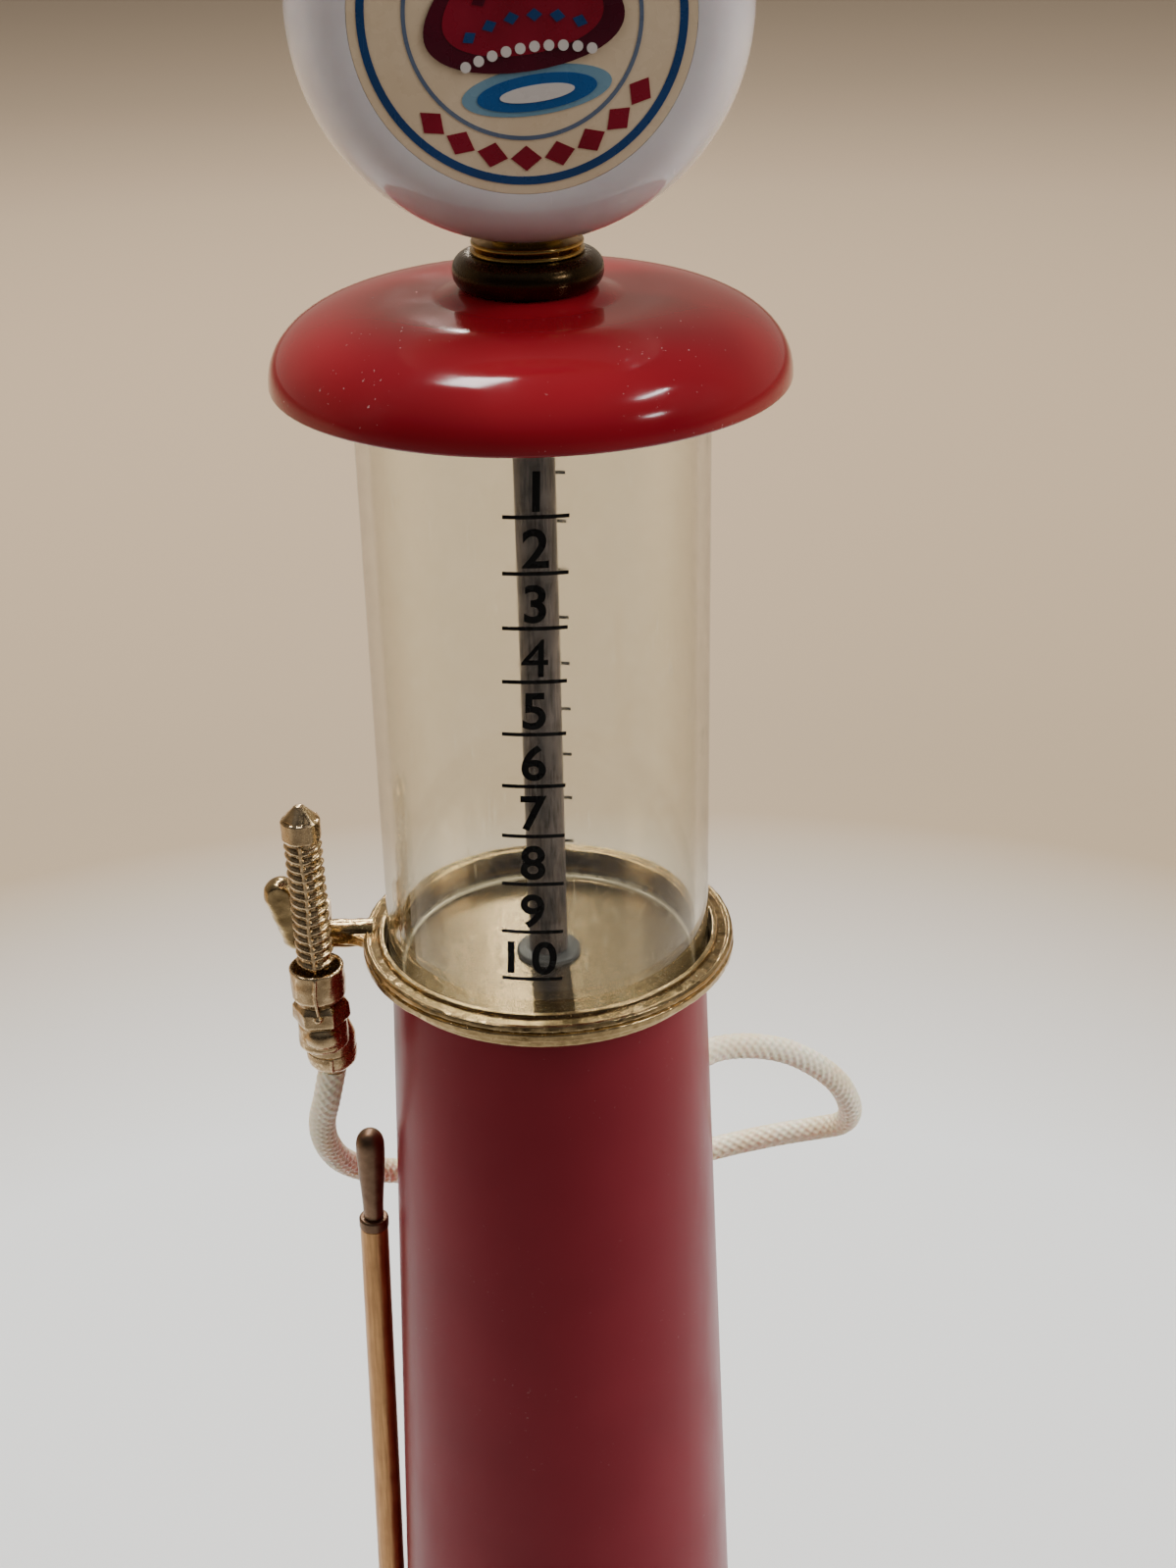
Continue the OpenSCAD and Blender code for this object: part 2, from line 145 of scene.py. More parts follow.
def bulge(x, z, a, b, start, end, power=2.0, steps=16):
    # part of a superellipse with half-axes a and b about (x, z)
    points = []
    for k in range(steps + 1):
        angle = radians(start + (end - start) * k / steps)
        c, s = math.cos(angle), math.sin(angle)
        points.append(Vector((x + a * math.copysign(abs(c) ** (2 / power), c),
                              z + b * math.copysign(abs(s) ** (2 / power), s))))
    return points


def revolve(name, profile, steps=128, sharp=40):
    # the profile is a closed outline beside the axis, or one that starts and ends on it
    verts, rings, faces = [], [], []
    for r, z in map(Vector, profile):
        if r < 1e-6:
            rings.append([len(verts)] * steps)
            verts.append((0, 0, z))
            continue
        rings.append(range(len(verts), len(verts) + steps))
        verts += [(r * math.cos(2 * math.pi * k / steps), r * math.sin(2 * math.pi * k / steps), z)
                  for k in range(steps)]
    for a, b in zip(rings, rings[1:] + rings[:1]):
        for k in range(steps):
            n = (k + 1) % steps
            face = list(dict.fromkeys((a[k], a[n], b[n], b[k])))
            if len(face) > 2:
                faces.append(face)
    return meshObject(name, verts, faces, sharp)


def plate(name, outline, low, high):
    # a flat solid with that outline, given in order round it
    count = len(outline)
    verts = [(x, y, z) for z in (low, high) for x, y in outline]
    faces = [list(range(count))[::-1], list(range(count, 2 * count))]
    faces += [[k, (k + 1) % count, count + (k + 1) % count, count + k] for k in range(count)]
    return meshObject(name, verts, faces)


def sweepTube(name, path, radii, sides=16, sharp=40, lump=None):
    # a tube along path; radii is one value or one for each point, and lump(along, round) adds to it
    radii = [radii] * len(path) if isinstance(radii, (int, float)) else radii
    verts, faces = [], []
    run = (path[1] - path[0]).normalized()
    side = run.orthogonal().normalized()
    along = 0.0
    for i, point in enumerate(path):
        ahead = path[min(i + 1, len(path) - 1)] - path[max(i - 1, 0)]
        run = ahead.normalized()
        side = (side - run * side.dot(run)).normalized()
        other = run.cross(side)
        if i:
            along += (point - path[i - 1]).length
        for k in range(sides):
            turn = 2 * math.pi * k / sides
            r = radii[i] + (lump(along, turn) if lump else 0)
            verts.append(point + r * (math.cos(turn) * side + math.sin(turn) * other))
    for i in range(len(path) - 1):
        for k in range(sides):
            n = (k + 1) % sides
            faces.append([i * sides + k, i * sides + n, (i + 1) * sides + n, (i + 1) * sides + k])
    faces.append(list(range(sides))[::-1])
    faces.append([(len(path) - 1) * sides + k for k in range(sides)])
    return meshObject(name, verts, faces, sharp)


def smoothPath(points, step):
    # a curve through the points, with a point about every step
    path = []
    for i in range(len(points) - 1):
        p0 = points[i - 1] if i else 2 * points[0] - points[1]
        p1, p2 = points[i], points[i + 1]
        p3 = points[i + 2] if i + 2 < len(points) else 2 * points[-1] - points[-2]
        count = max(2, round((p2 - p1).length / step))
        for k in range(count):
            t = k / count
            path.append(0.5 * (2 * p1 + (p2 - p0) * t + (2 * p0 - 5 * p1 + 4 * p2 - p3) * t * t
                               + (3 * p1 - p0 - 3 * p2 + p3) * t ** 3))
    return path + [points[-1]]


def joined(name, parts):
    work = bmesh.new()
    for part in parts:
        work.from_mesh(part.data)
        bpy.data.objects.remove(part)
    mesh = bpy.data.meshes.new(name)
    work.to_mesh(mesh)
    work.free()
    obj = bpy.data.objects.new(name, mesh)
    bpy.context.scene.collection.objects.link(obj)
    return obj


def settled(obj):
    # applies the object's modifiers and leaves a plain mesh
    bpy.context.view_layer.update()
    graph = bpy.context.evaluated_depsgraph_get()
    obj.data = bpy.data.meshes.new_from_object(obj.evaluated_get(graph))
    obj.modifiers.clear()
    return obj


def cast(name, parts, voxel, rounds):
    # melts overlapping parts into one casting with soft inner corners
    obj = joined(name, parts)
    remesh = obj.modifiers.new("melt", "REMESH")
    remesh.mode = "VOXEL"
    remesh.voxel_size = voxel
    soften = obj.modifiers.new("soften", "SMOOTH")
    soften.factor = 0.5
    soften.iterations = rounds
    settled(obj)
    tidyMesh(obj, 60)
    return obj


def roughen(obj, size, depth, where=None):
    # uneven cast skin: moves each vertex along its normal
    mesh = obj.data
    moves = [noise.noise(v.co / size) * depth * (where(v.co) if where else 1) for v in mesh.vertices]
    normals = [v.normal.copy() for v in mesh.vertices]
    for vertex, move, normal in zip(mesh.vertices, moves, normals):
        vertex.co += normal * move
    mesh.update()


def placed(obj, matrix):
    obj.data.transform(matrix)
    obj.data.update()
    return obj


def finishPiece(obj, body, material, node=None):
    obj.data.transform(Matrix.Scale(mm, 4))
    obj.data.materials.clear()
    obj.data.materials.append(material)
    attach(obj, body)
    if node:
        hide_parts(node)


def turnedPiece(name, node, profile, steps, finish, body="pump", seat=None, sharp=40):
    # a turned piece from its profile to its finish, standing in for one CAD node
    obj = revolve(name, profile, steps, sharp)
    if seat:
        placed(obj, seat)
    finishPiece(obj, body, finish, node)


# ---------- geometry nodes

def newTree(name, sockets):
    tree = bpy.data.node_groups.new(name, "GeometryNodeTree")
    tree.interface.new_socket("Geometry", in_out="OUTPUT", socket_type="NodeSocketGeometry")
    for label, kind in sockets:
        tree.interface.new_socket(label, in_out="INPUT", socket_type="NodeSocket" + kind)
    source = tree.nodes.new("NodeGroupInput")
    sink = tree.nodes.new("NodeGroupOutput")
    return tree, source.outputs, sink.inputs[0]


def treeNode(tree, kind, inputs=(), **settings):
    # a node with its settings, and its inputs filled by value or linked to a socket or a node
    made = tree.nodes.new(kind)
    for key, value in settings.items():
        setattr(made, key, value)
    for key, value in dict(inputs).items():
        if isinstance(value, bpy.types.Node):
            value = value.outputs[0]
        if isinstance(value, bpy.types.NodeSocket):
            tree.links.new(value, made.inputs[key])
        else:
            made.inputs[key].default_value = value
    return made


def calculated(tree, operation, first, second=0.0):
    return treeNode(tree, "ShaderNodeMath", {0: first, 1: second}, operation=operation).outputs[0]


def closeTree(tree, instances, material, sink):
    real = treeNode(tree, "GeometryNodeRealizeInstances", {"Geometry": instances})
    painted = treeNode(tree, "GeometryNodeSetMaterial", {"Geometry": real, "Material": material})
    tree.links.new(painted.outputs[0], sink)
    return tree


def arcNode(tree, given, steps):
    return treeNode(tree, "GeometryNodeCurveArc", {
        "Resolution": steps, "Radius": given["Radius"],
        "Start Angle": given["Start"], "Sweep Angle": given["Sweep"]})


def arcStackTree(roundSection):
    # the same arc again and again down the Z axis: gauge strokes and barrel ribs
    tree, given, sink = newTree("arc stack", [
        ("Count", "Int"), ("Pitch", "Float"), ("Radius", "Float"), ("Start", "Float"), ("Sweep", "Float"),
        ("Thick", "Float"), ("Proud", "Float"), ("Tilt", "Float"), ("Jitter", "Float"), ("Seed", "Int"),
        ("Material", "Material")])
    drop = calculated(tree, "MULTIPLY", given["Pitch"], -1.0)
    offset = treeNode(tree, "ShaderNodeCombineXYZ", {"Z": drop})
    line = treeNode(tree, "GeometryNodeMeshLine",
                    {"Count": given["Count"], "Offset": offset}, mode="OFFSET")
    lower = calculated(tree, "MULTIPLY", given["Jitter"], -1.0)
    stray = treeNode(tree, "FunctionNodeRandomValue",
                     {2: lower, 3: given["Jitter"], "Seed": given["Seed"]}, data_type="FLOAT")
    shift = treeNode(tree, "ShaderNodeCombineXYZ", {"Z": stray.outputs[1]})
    spread = treeNode(tree, "GeometryNodeSetPosition", {"Geometry": line, "Offset": shift})
    if roundSection:
        section = treeNode(tree, "GeometryNodeCurvePrimitiveCircle",
                           {"Resolution": 10, "Radius": given["Thick"]})
    else:
        section = treeNode(tree, "GeometryNodeCurvePrimitiveQuadrilateral",
                           {"Width": given["Proud"], "Height": given["Thick"]})
    bar = treeNode(tree, "GeometryNodeCurveToMesh", {
        "Curve": arcNode(tree, given, 20), "Profile Curve": section, "Fill Caps": True})
    euler = treeNode(tree, "ShaderNodeCombineXYZ", {"Y": given["Tilt"]})
    turn = treeNode(tree, "FunctionNodeEulerToRotation", {0: euler})
    copies = treeNode(tree, "GeometryNodeInstanceOnPoints", {
        "Points": spread, "Instance": bar, "Rotation": turn})
    return closeTree(tree, copies, given["Material"], sink)


def arcRowTree():
    # flat chips side by side along an arc in the XY plane: the printed lozenges and dots
    tree, given, sink = newTree("arc row", [
        ("Count", "Int"), ("Radius", "Float"), ("Start", "Float"), ("Sweep", "Float"), ("Corners", "Int"),
        ("Long", "Float"), ("Wide", "Float"), ("Thick", "Float"), ("Material", "Material")])
    spots = treeNode(tree, "GeometryNodeResampleCurve",
                     {"Curve": arcNode(tree, given, 64), "Count": given["Count"]}, mode="COUNT")
    place = treeNode(tree, "GeometryNodeInputPosition")
    apart = treeNode(tree, "ShaderNodeSeparateXYZ", {0: place})
    angle = calculated(tree, "ARCTAN2", apart.outputs["Y"], apart.outputs["X"])
    euler = treeNode(tree, "ShaderNodeCombineXYZ", {"Z": angle})
    turn = treeNode(tree, "FunctionNodeEulerToRotation", {0: euler})
    chip = treeNode(tree, "GeometryNodeMeshCylinder", {
        "Vertices": given["Corners"], "Radius": 0.5, "Depth": given["Thick"]})
    size = treeNode(tree, "ShaderNodeCombineXYZ", {"X": given["Wide"], "Y": given["Long"], "Z": 1.0})
    copies = treeNode(tree, "GeometryNodeInstanceOnPoints", {
        "Points": spots, "Instance": chip, "Rotation": turn, "Scale": size})
    return closeTree(tree, copies, given["Material"], sink)


def grown(name, tree, values):
    # runs the tree with these values and keeps the result as a plain mesh
    obj = bpy.data.objects.new(name, bpy.data.meshes.new(name))
    bpy.context.scene.collection.objects.link(obj)
    grow = obj.modifiers.new("grow", "NODES")
    grow.node_group = tree
    for item in tree.interface.items_tree:
        if item.in_out == "INPUT" and item.name in values:
            grow[item.identifier] = values[item.name]
    settled(obj)
    tidyMesh(obj)
    return obj


# ---------- shader groups

def mixed(tree, amount, first, second):
    return treeNode(tree, "ShaderNodeMix", {0: amount, 6: first, 7: second}, data_type="RGBA").outputs[2]


def remapped(tree, value, low, high, newLow=0.0, newHigh=1.0):
    made = treeNode(tree, "ShaderNodeMapRange", {
        "Value": value, "From Min": low, "From Max": high, "To Min": newLow, "To Max": newHigh})
    return made.outputs[0]


def weighted(tree, first, share, second, otherShare):
    return calculated(tree, "ADD", calculated(tree, "MULTIPLY", first, share),
                      calculated(tree, "MULTIPLY", second, otherShare))


def grain(tree, size, detail, stretch=None, fade=0.55):
    # noise with features of about size, in metres, in the piece's own coordinates
    where = treeNode(tree, "ShaderNodeTexCoord").outputs["Object"]
    if stretch:
        where = treeNode(tree, "ShaderNodeMapping", {"Vector": where, "Scale": stretch})
    return treeNode(tree, "ShaderNodeTexNoise", {
        "Vector": where, "Scale": 1 / size, "Detail": detail, "Roughness": fade}).outputs[0]


def skinGroup(name, inputs):
    group = bpy.data.node_groups.new(name, "ShaderNodeTree")
    for label, kind, value in inputs:
        socket = group.interface.new_socket(label, in_out="INPUT", socket_type="NodeSocket" + kind)
        socket.default_value = value
    for label, kind in (("Color", "Color"), ("Roughness", "Float"), ("Normal", "Vector")):
        group.interface.new_socket(label, in_out="OUTPUT", socket_type="NodeSocket" + kind)
    return group, group.nodes.new("NodeGroupInput").outputs


def closeGroup(group, colour, rough, height, strength, depth):
    # gives out the colour, the roughness and a normal bumped by height
    result = group.nodes.new("NodeGroupOutput").inputs
    bump = treeNode(group, "ShaderNodeBump", {"Strength": strength, "Distance": depth, "Height": height})
    group.links.new(colour, result["Color"])
    group.links.new(rough, result["Roughness"])
    group.links.new(bump.outputs[0], result["Normal"])
    return group


def castSkinGroup():
    # plated casting: uneven tone and pits, with painted shade in its hollows and painted highlights on its
    # edges
    group, given = skinGroup("cast skin", [
        ("Light", "Color", (0.8, 0.6, 0.3, 1)), ("Dark", "Color", (0.4, 0.25, 0.1, 1)),
        ("Gloss", "Float", 0.2), ("Depth", "Float", 0.04 * mm)])
    broad = grain(group, 0.9 * mm, 4)
    fine = grain(group, 0.16 * mm, 3)
    # painted shade and highlight: pointiness darkens hollows and lightens edges in the colour
    hollowShadeEdgeHighlight = treeNode(group, "ShaderNodeNewGeometry").outputs["Pointiness"]
    shade = weighted(group, broad, 0.55, remapped(group, hollowShadeEdgeHighlight, 0.46, 0.56), 0.6)
    colour = mixed(group, remapped(group, shade, 0.3, 0.85), given["Dark"], given["Light"])
    rough = calculated(group, "ADD", given["Gloss"], remapped(group, fine, 0.35, 0.75, 0.0, 0.16))
    return closeGroup(group, colour, rough, weighted(group, broad, 0.5, fine, 0.5), 0.6, given["Depth"])


def enamelGroup():
    # sprayed enamel: slow tone changes, dust specks in patches, duller smears and faint orange peel
    group, given = skinGroup("enamel", [
        ("Paint", "Color", (0.5, 0.01, 0.02, 1)), ("Deep", "Color", (0.3, 0.005, 0.01, 1)),
        ("Gloss", "Float", 0.08), ("Dust", "Float", 0.3)])
    slow = grain(group, 14 * mm, 2)
    speck = remapped(group, grain(group, 0.32 * mm, 2), 0.715, 0.735)
    patch = remapped(group, grain(group, 6 * mm, 2), 0.5, 0.62)
    smear = grain(group, 3.5 * mm, 4, (1.0, 1.0, 0.35))
    dusty = calculated(group, "MULTIPLY", calculated(group, "MULTIPLY", speck, patch), given["Dust"])
    paint = mixed(group, remapped(group, slow, 0.35, 0.65), given["Deep"], given["Paint"])
    colour = mixed(group, dusty, paint, (0.75, 0.6, 0.58, 1))
    rough = calculated(group, "ADD", given["Gloss"], remapped(group, smear, 0.45, 0.7, 0.0, 0.07))
    rough = calculated(group, "ADD", rough, calculated(group, "MULTIPLY", dusty, 0.5))
    return closeGroup(group, colour, rough, grain(group, 1.1 * mm, 2), 0.12, 0.02 * mm)


def drawnMetalGroup():
    # metal with fine lines along one axis, as drawn or brushed
    group, given = skinGroup("drawn metal", [
        ("Light", "Color", (0.6, 0.6, 0.62, 1)), ("Dark", "Color", (0.3, 0.3, 0.32, 1)),
        ("Gloss", "Float", 0.25), ("Lines", "Vector", (1.0, 1.0, 0.04))])
    lines = grain(group, 0.22 * mm, 4, given["Lines"], 0.5)
    stain = grain(group, 2.6 * mm, 4)
    shade = weighted(group, lines, 0.6, stain, 0.4)
    colour = mixed(group, remapped(group, shade, 0.38, 0.62), given["Dark"], given["Light"])
    rough = calculated(group, "ADD", given["Gloss"], remapped(group, stain, 0.35, 0.7, 0.0, 0.18))
    return closeGroup(group, colour, rough, lines, 0.25, 0.02 * mm)


def mouldedGroup():
    # moulded or printed plastic: soft mottling, handling haze and hairline scratches
    group, given = skinGroup("moulded", [
        ("Light", "Color", (0.8, 0.8, 0.8, 1)), ("Dark", "Color", (0.7, 0.7, 0.7, 1)),
        ("Gloss", "Float", 0.15), ("Depth", "Float", 0.01 * mm)])
    cloud = grain(group, 5 * mm, 4)
    haze = grain(group, 1.6 * mm, 5)
    scratch = grain(group, 0.5 * mm, 2, (1.0, 0.15, 0.12))
    colour = mixed(group, remapped(group, cloud, 0.35, 0.65), given["Dark"], given["Light"])
    rough = calculated(group, "ADD", given["Gloss"], remapped(group, haze, 0.4, 0.75, 0.0, 0.14))
    rough = calculated(group, "ADD", rough, remapped(group, scratch, 0.68, 0.74, 0.0, 0.15))
    return closeGroup(group, colour, rough, haze, 0.3, given["Depth"])


groups = {
    "cast": castSkinGroup(),
    "enamel": enamelGroup(),
    "drawn": drawnMetalGroup(),
    "moulded": mouldedGroup(),
}


# ---------- materials

def finishMaterial(name, group, values, **sockets):
    # one Principled shader fed by one group; sockets hold what is the same all over
    material = bpy.data.materials.new(name)
    material.use_nodes = True
    tree = material.node_tree
    shader = tree.nodes["Principled BSDF"]
    skin = tree.nodes.new("ShaderNodeGroup")
    skin.node_tree = groups[group]
    for key, value in values.items():
        skin.inputs[key].default_value = value
    tree.links.new(skin.outputs["Color"], shader.inputs["Base Color"])
    tree.links.new(skin.outputs["Roughness"], shader.inputs["Roughness"])
    tree.links.new(skin.outputs["Normal"], shader.inputs["Normal"])
    for key, value in sockets.items():
        label = "".join(" " + c if c.isupper() else c for c in key).strip().title().replace("Ior", "IOR")
        shader.inputs[label].default_value = value
    return material


def castFinish(name, light, dark, gloss, depth):
    return finishMaterial(name, "cast", {
        "Light": (*light, 1), "Dark": (*dark, 1), "Gloss": gloss, "Depth": depth * mm}, metallic=1.0)


def drawnFinish(name, light, dark, gloss, lines, metallic):
    return finishMaterial(name, "drawn", {
        "Light": (*light, 1), "Dark": (*dark, 1), "Gloss": gloss, "Lines": lines}, metallic=metallic)


def enamelFinish(name, paint, deep, gloss, dust, **sockets):
    return finishMaterial(name, "enamel", {
        "Paint": (*paint, 1), "Deep": (*deep, 1), "Gloss": gloss, "Dust": dust}, **sockets)


def plasticFinish(name, light, dark, gloss, depth, **sockets):
    return finishMaterial(name, "moulded", {
        "Light": (*light, 1), "Dark": (*dark, 1), "Gloss": gloss, "Depth": depth * mm}, **sockets)


def inkFinish(name, light, dark, shine=0.4):
    return plasticFinish(name, light, dark, 0.24, 0.008, specularIorLevel=shine)


def clearFinish():
    # clear acrylic that lets light through to what is inside, with painted shade darkening it towards its
    # edges
    material = plasticFinish("clearAcrylic", (0.97, 0.97, 0.91), (0.95, 0.95, 0.88), 0.0, 0.004,
                             transmissionWeight=1.0, ior=1.49)
    tree = material.node_tree
    shader = tree.nodes["Principled BSDF"]
    skin = shader.inputs["Base Color"].links[0].from_socket
    # painted edge shade: a dark brown-grey mixed into the colour where the surface turns away from view
    facing = treeNode(tree, "ShaderNodeLayerWeight", {"Blend": 0.35}).outputs["Facing"]
    paintedEdgeShade = mixed(tree, remapped(tree, facing, 0.3, 1.0), skin, (0.25, 0.22, 0.15, 1))
    tree.links.new(paintedEdgeShade, shader.inputs["Base Color"])
    through = treeNode(tree, "ShaderNodeBsdfTransparent", {"Color": (0.95, 0.95, 0.92, 1)})
    shadow = treeNode(tree, "ShaderNodeLightPath").outputs["Is Shadow Ray"]
    blend = treeNode(tree, "ShaderNodeMixShader", {0: shadow, 1: shader, 2: through})
    tree.links.new(blend.outputs[0], tree.nodes["Material Output"].inputs["Surface"])
    return material


goldFinish = castFinish("castGold", (0.72, 0.53, 0.27), (0.17, 0.108, 0.042), 0.14, 0.05)
nozzleFinish = castFinish("nozzleGold", (0.84, 0.63, 0.37), (0.26, 0.165, 0.075), 0.18, 0.04)
floorFinish = castFinish("floorGold", (0.17, 0.122, 0.062), (0.1, 0.07, 0.034), 0.14, 0.01)
knobFinish = castFinish("knobBronze", (0.3, 0.19, 0.12), (0.12, 0.07, 0.045), 0.36, 0.02)
neckFinish = castFinish("neckBronze", (0.1, 0.065, 0.03), (0.035, 0.018, 0.008), 0.2, 0.01)
sleeveFinish = castFinish("neckBrass", (0.52, 0.34, 0.1), (0.2, 0.12, 0.035), 0.14, 0.01)
leverFinish = drawnFinish("leverBrass", (0.6, 0.34, 0.15), (0.38, 0.2, 0.09), 0.28, (1, 1, 0.05), 1.0)
pipeFinish = drawnFinish("pipeSteel", (0.13, 0.1, 0.088), (0.025, 0.017, 0.014), 0.32, (1, 1, 0.12), 0.6)
steelFinish = drawnFinish("plainSteel", (0.6, 0.6, 0.6), (0.38, 0.38, 0.38), 0.28, (1, 0.08, 1), 1.0)
capFinish = enamelFinish("capRed", (0.24, 0.008, 0.014), (0.19, 0.006, 0.011), 0.1, 0.45,
                         specularIorLevel=0.3, coatWeight=0.04, coatRoughness=0.05)
columnFinish = enamelFinish("columnRed", (0.225, 0.017, 0.027), (0.2, 0.014, 0.023), 0.3, 0.12,
                            specularIorLevel=0.13)
globeFinish = plasticFinish("globeWhite", (0.72, 0.66, 0.64), (0.66, 0.59, 0.58), 0.08, 0.01,
                            coatWeight=0.5, coatRoughness=0.04, subsurfaceWeight=0.1, subsurfaceScale=0.002)
rubberFinish = plasticFinish("rubberBlack", (0.035, 0.034, 0.033), (0.02, 0.02, 0.02), 0.5, 0.04)
sealFinish = plasticFinish("sealClear", (0.4, 0.34, 0.22), (0.3, 0.25, 0.16), 0.3, 0.01)
braidFinish = plasticFinish("hoseBraid", (0.98, 0.9, 0.69), (0.9, 0.77, 0.52), 0.3, 0.02,
                            subsurfaceWeight=0.3, subsurfaceScale=0.0008)
acrylicFinish = clearFinish()
inkBlack = inkFinish("inkBlack", (0.008, 0.0075, 0.007), (0.003, 0.003, 0.003), 0.12)
inkCream = inkFinish("inkCream", (0.7, 0.54, 0.36), (0.65, 0.49, 0.31))
inkBlue = inkFinish("inkBlue", (0.012, 0.05, 0.16), (0.009, 0.04, 0.12))
inkSlate = inkFinish("inkSlate", (0.12, 0.15, 0.21), (0.08, 0.11, 0.17))
inkMaroon = inkFinish("inkMaroon", (0.075, 0.003, 0.012), (0.05, 0.002, 0.009))
inkRed = inkFinish("inkRed", (0.23, 0.006, 0.02), (0.18, 0.004, 0.014))
inkSky = inkFinish("inkSky", (0.17, 0.3, 0.38), (0.12, 0.24, 0.32))
inkMid = inkFinish("inkMid", (0.01, 0.09, 0.28), (0.008, 0.07, 0.22))
inkWhite = inkFinish("inkWhite", (0.66, 0.6, 0.54), (0.6, 0.54, 0.48))
print("materials ready")


# ---------- camera

cameraSettings = {
    "place": (3.4, -150.4, 219.8),
    "down": 26.95,    # how far it looks below the horizon
    "roll": -1.17,
    "lens": 50.3,
}


def addCamera(s):
    data = bpy.data.cameras.new("camera")
    data.lens = s["lens"]
    data.sensor_width = 36
    data.clip_start = 0.005
    camera = bpy.data.objects.new("camera", data)
    aim = Matrix.Rotation(radians(90 - s["down"]), 4, "X") @ Matrix.Rotation(radians(s["roll"]), 4, "Z")
    camera.matrix_world = Matrix.Translation(Vector(s["place"]) * mm) @ aim
    bpy.context.scene.collection.objects.link(camera)
    bpy.context.scene.camera = camera


addCamera(cameraSettings)


# ---------- hose

hoseSettings = {
    "route": [(12, 11, 110), (14.4, 13.2, 109.8), (17.6, 15.4, 108.6), (21, 17.4, 106.6),
              (24, 19.2, 103.8), (26.4, 21.2, 100.4), (27.8, 23.2, 96.8), (28.2, 25.2, 93.8),
              (27.6, 26.6, 91.8), (25.8, 27.6, 90.6), (22, 28.6, 89.2), (17.6, 28.6, 88.2),
              (13.2, 27.6, 87.8), (8.8, 26.2, 88.2), (4.4, 24.6, 89), (0, 22.8, 90.2),
              (-4.4, 21, 91.4), (-8.6, 19, 92.8), (-12.4, 16.8, 94.4), (-15.6, 14, 96.6),
              (-17.8, 10.8, 99.4), (-19.2, 7.4, 103), (-19.8, 4.4, 107), (-19.6, 1.8, 111),
              (-18.7, -0.5, 115), (-17.8, -1.6, 119)],
    "diameter": 2.2,
    "step": 0.13,
    "sides": 48,
    "strands": 8,      # strands each way round
    "braidPitch": 1.0,
    "braidDepth": 0.13,
    "bendFrom": (-16.7, 12.4, 98),    # the far end follows the nozzle from here on
    "bendTo": (-28.3, 3.7, 112.5),
}


def addHose(s):
    points = [Vector(p) for p in s["route"]]
    path = smoothPath(points, s["step"])

    def strands(along, turn):
        lean = 2 * math.pi * along / s["braidPitch"]
        left = abs(math.cos(0.5 * (s["strands"] * turn + lean)))
        right = abs(math.cos(0.5 * (s["strands"] * turn - lean)))
        return s["braidDepth"] * (max(left, right) ** 2 + 0.4 * left * right - 0.85)

    hose = sweepTube("hose", path, s["diameter"] / 2, s["sides"], 60, strands)
    hose.data.transform(Matrix.Scale(mm, 4))
    hose.data.materials.append(braidFinish)
    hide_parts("hose")
    length = sum((b - a).length for a, b in zip(path, path[1:]))
    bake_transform(hose)
    print("hose", round(length, 1), "mm")
    return hose, [tuple(p * mm) for p in path[::4]] + [tuple(path[-1] * mm)], length * mm


hosePiece, hosePath, hoseLength = addHose(hoseSettings)


# ---------- globe

globeSettings = {
    "rimPower": 2.4,
    "wall": 1.6,
    "lensT": 0.8,
    "seatLip": 0.8,     # how far the shell's seat reaches in behind each lens
    "turn": 7,          # the print's own turn in its seat
    "ink": 0.03,
    "blueRing": (9.86, 10.38),
    "slateRing": (7.32, 7.58),
    "dropHalf": 5.1,
    "dropWide": 9.2,
    "dropUp": 1.75,
    "ripple": (4.8, 1.5, -4.6),    # half-width, half-height and place of the widest ripple
    # rows of chips: count, radius, middle, sweep, corners, long, wide, and how far up the arc's centre is
    "lozenges": (8, 8.72, -90, 100, 4, 2.0, 1.6, 0),
    "dots": (10, 13, 90, 36, 18, 0.68, 0.68, -14.9),
    "blueGems": (6, 8, 90, 52, 4, 1.0, 0.8, -8),
    "darkGems": (5, 7, 90, 42, 4, 1.1, 0.9, -5.2),
}


def addGlobe(s):
    body, front, back = cadBox("globe_body"), cadBox("lens_front"), cadBox("lens_back")
    between = front["mid"] - back["mid"]
    facing = math.atan2(between.x, -between.y)
    lensR = (front["high"].z - front["low"].z) / 2
    radius = (body["high"].z - body["low"].z) / 2
    half = between.length / 2 + s["lensT"] / 2
    step = half - s["lensT"]
    rim = radius - lensR
    lip = lensR - s["seatLip"]
    upright = Matrix.Rotation(radians(90), 4, "X")
    seat = Matrix.Translation(body["mid"]) @ Matrix.Rotation(facing, 4, "Z") @ upright
    outer = bulge(lensR, 0, rim, half, -88, 88, s["rimPower"], 40)
    inner = bulge(lip, 0, rim + s["seatLip"] - s["wall"], half - s["wall"], 80, -80, s["rimPower"], 20)
    profile = ([(lensR + 0.02, -half)] + outer
               + [(lensR + 0.02, half), (lensR, half - 0.05), (lensR, step), (lip, step), (lip, step - 1)]
               + inner + [(lip, 1 - step), (lip, -step), (lensR, -step)])
    turnedPiece("globeShell", "globe_body", profile, 192, globeFinish, "globe", seat)
    disc = fillet([(0, step), (lensR - 0.01, step), (lensR - 0.01, half, 0.03), (0, half)])
    for name, node, side in (("lensFront", "lens_front", 0), ("lensBack", "lens_back", 180)):
        face = seat @ Matrix.Rotation(radians(side), 4, "Y")
        turnedPiece(name, node, disc, 128, inkCream, "globe", face)
        turned = Matrix.Rotation(radians(s["turn"]), 4, "Z")
        addPrint(name, s, face @ Matrix.Translation((0, 0, half)) @ turned)


def ellipse(x, y, a, b, count=72):
    return [(x + a * math.cos(2 * math.pi * k / count), y + b * math.sin(2 * math.pi * k / count))
            for k in range(count)]


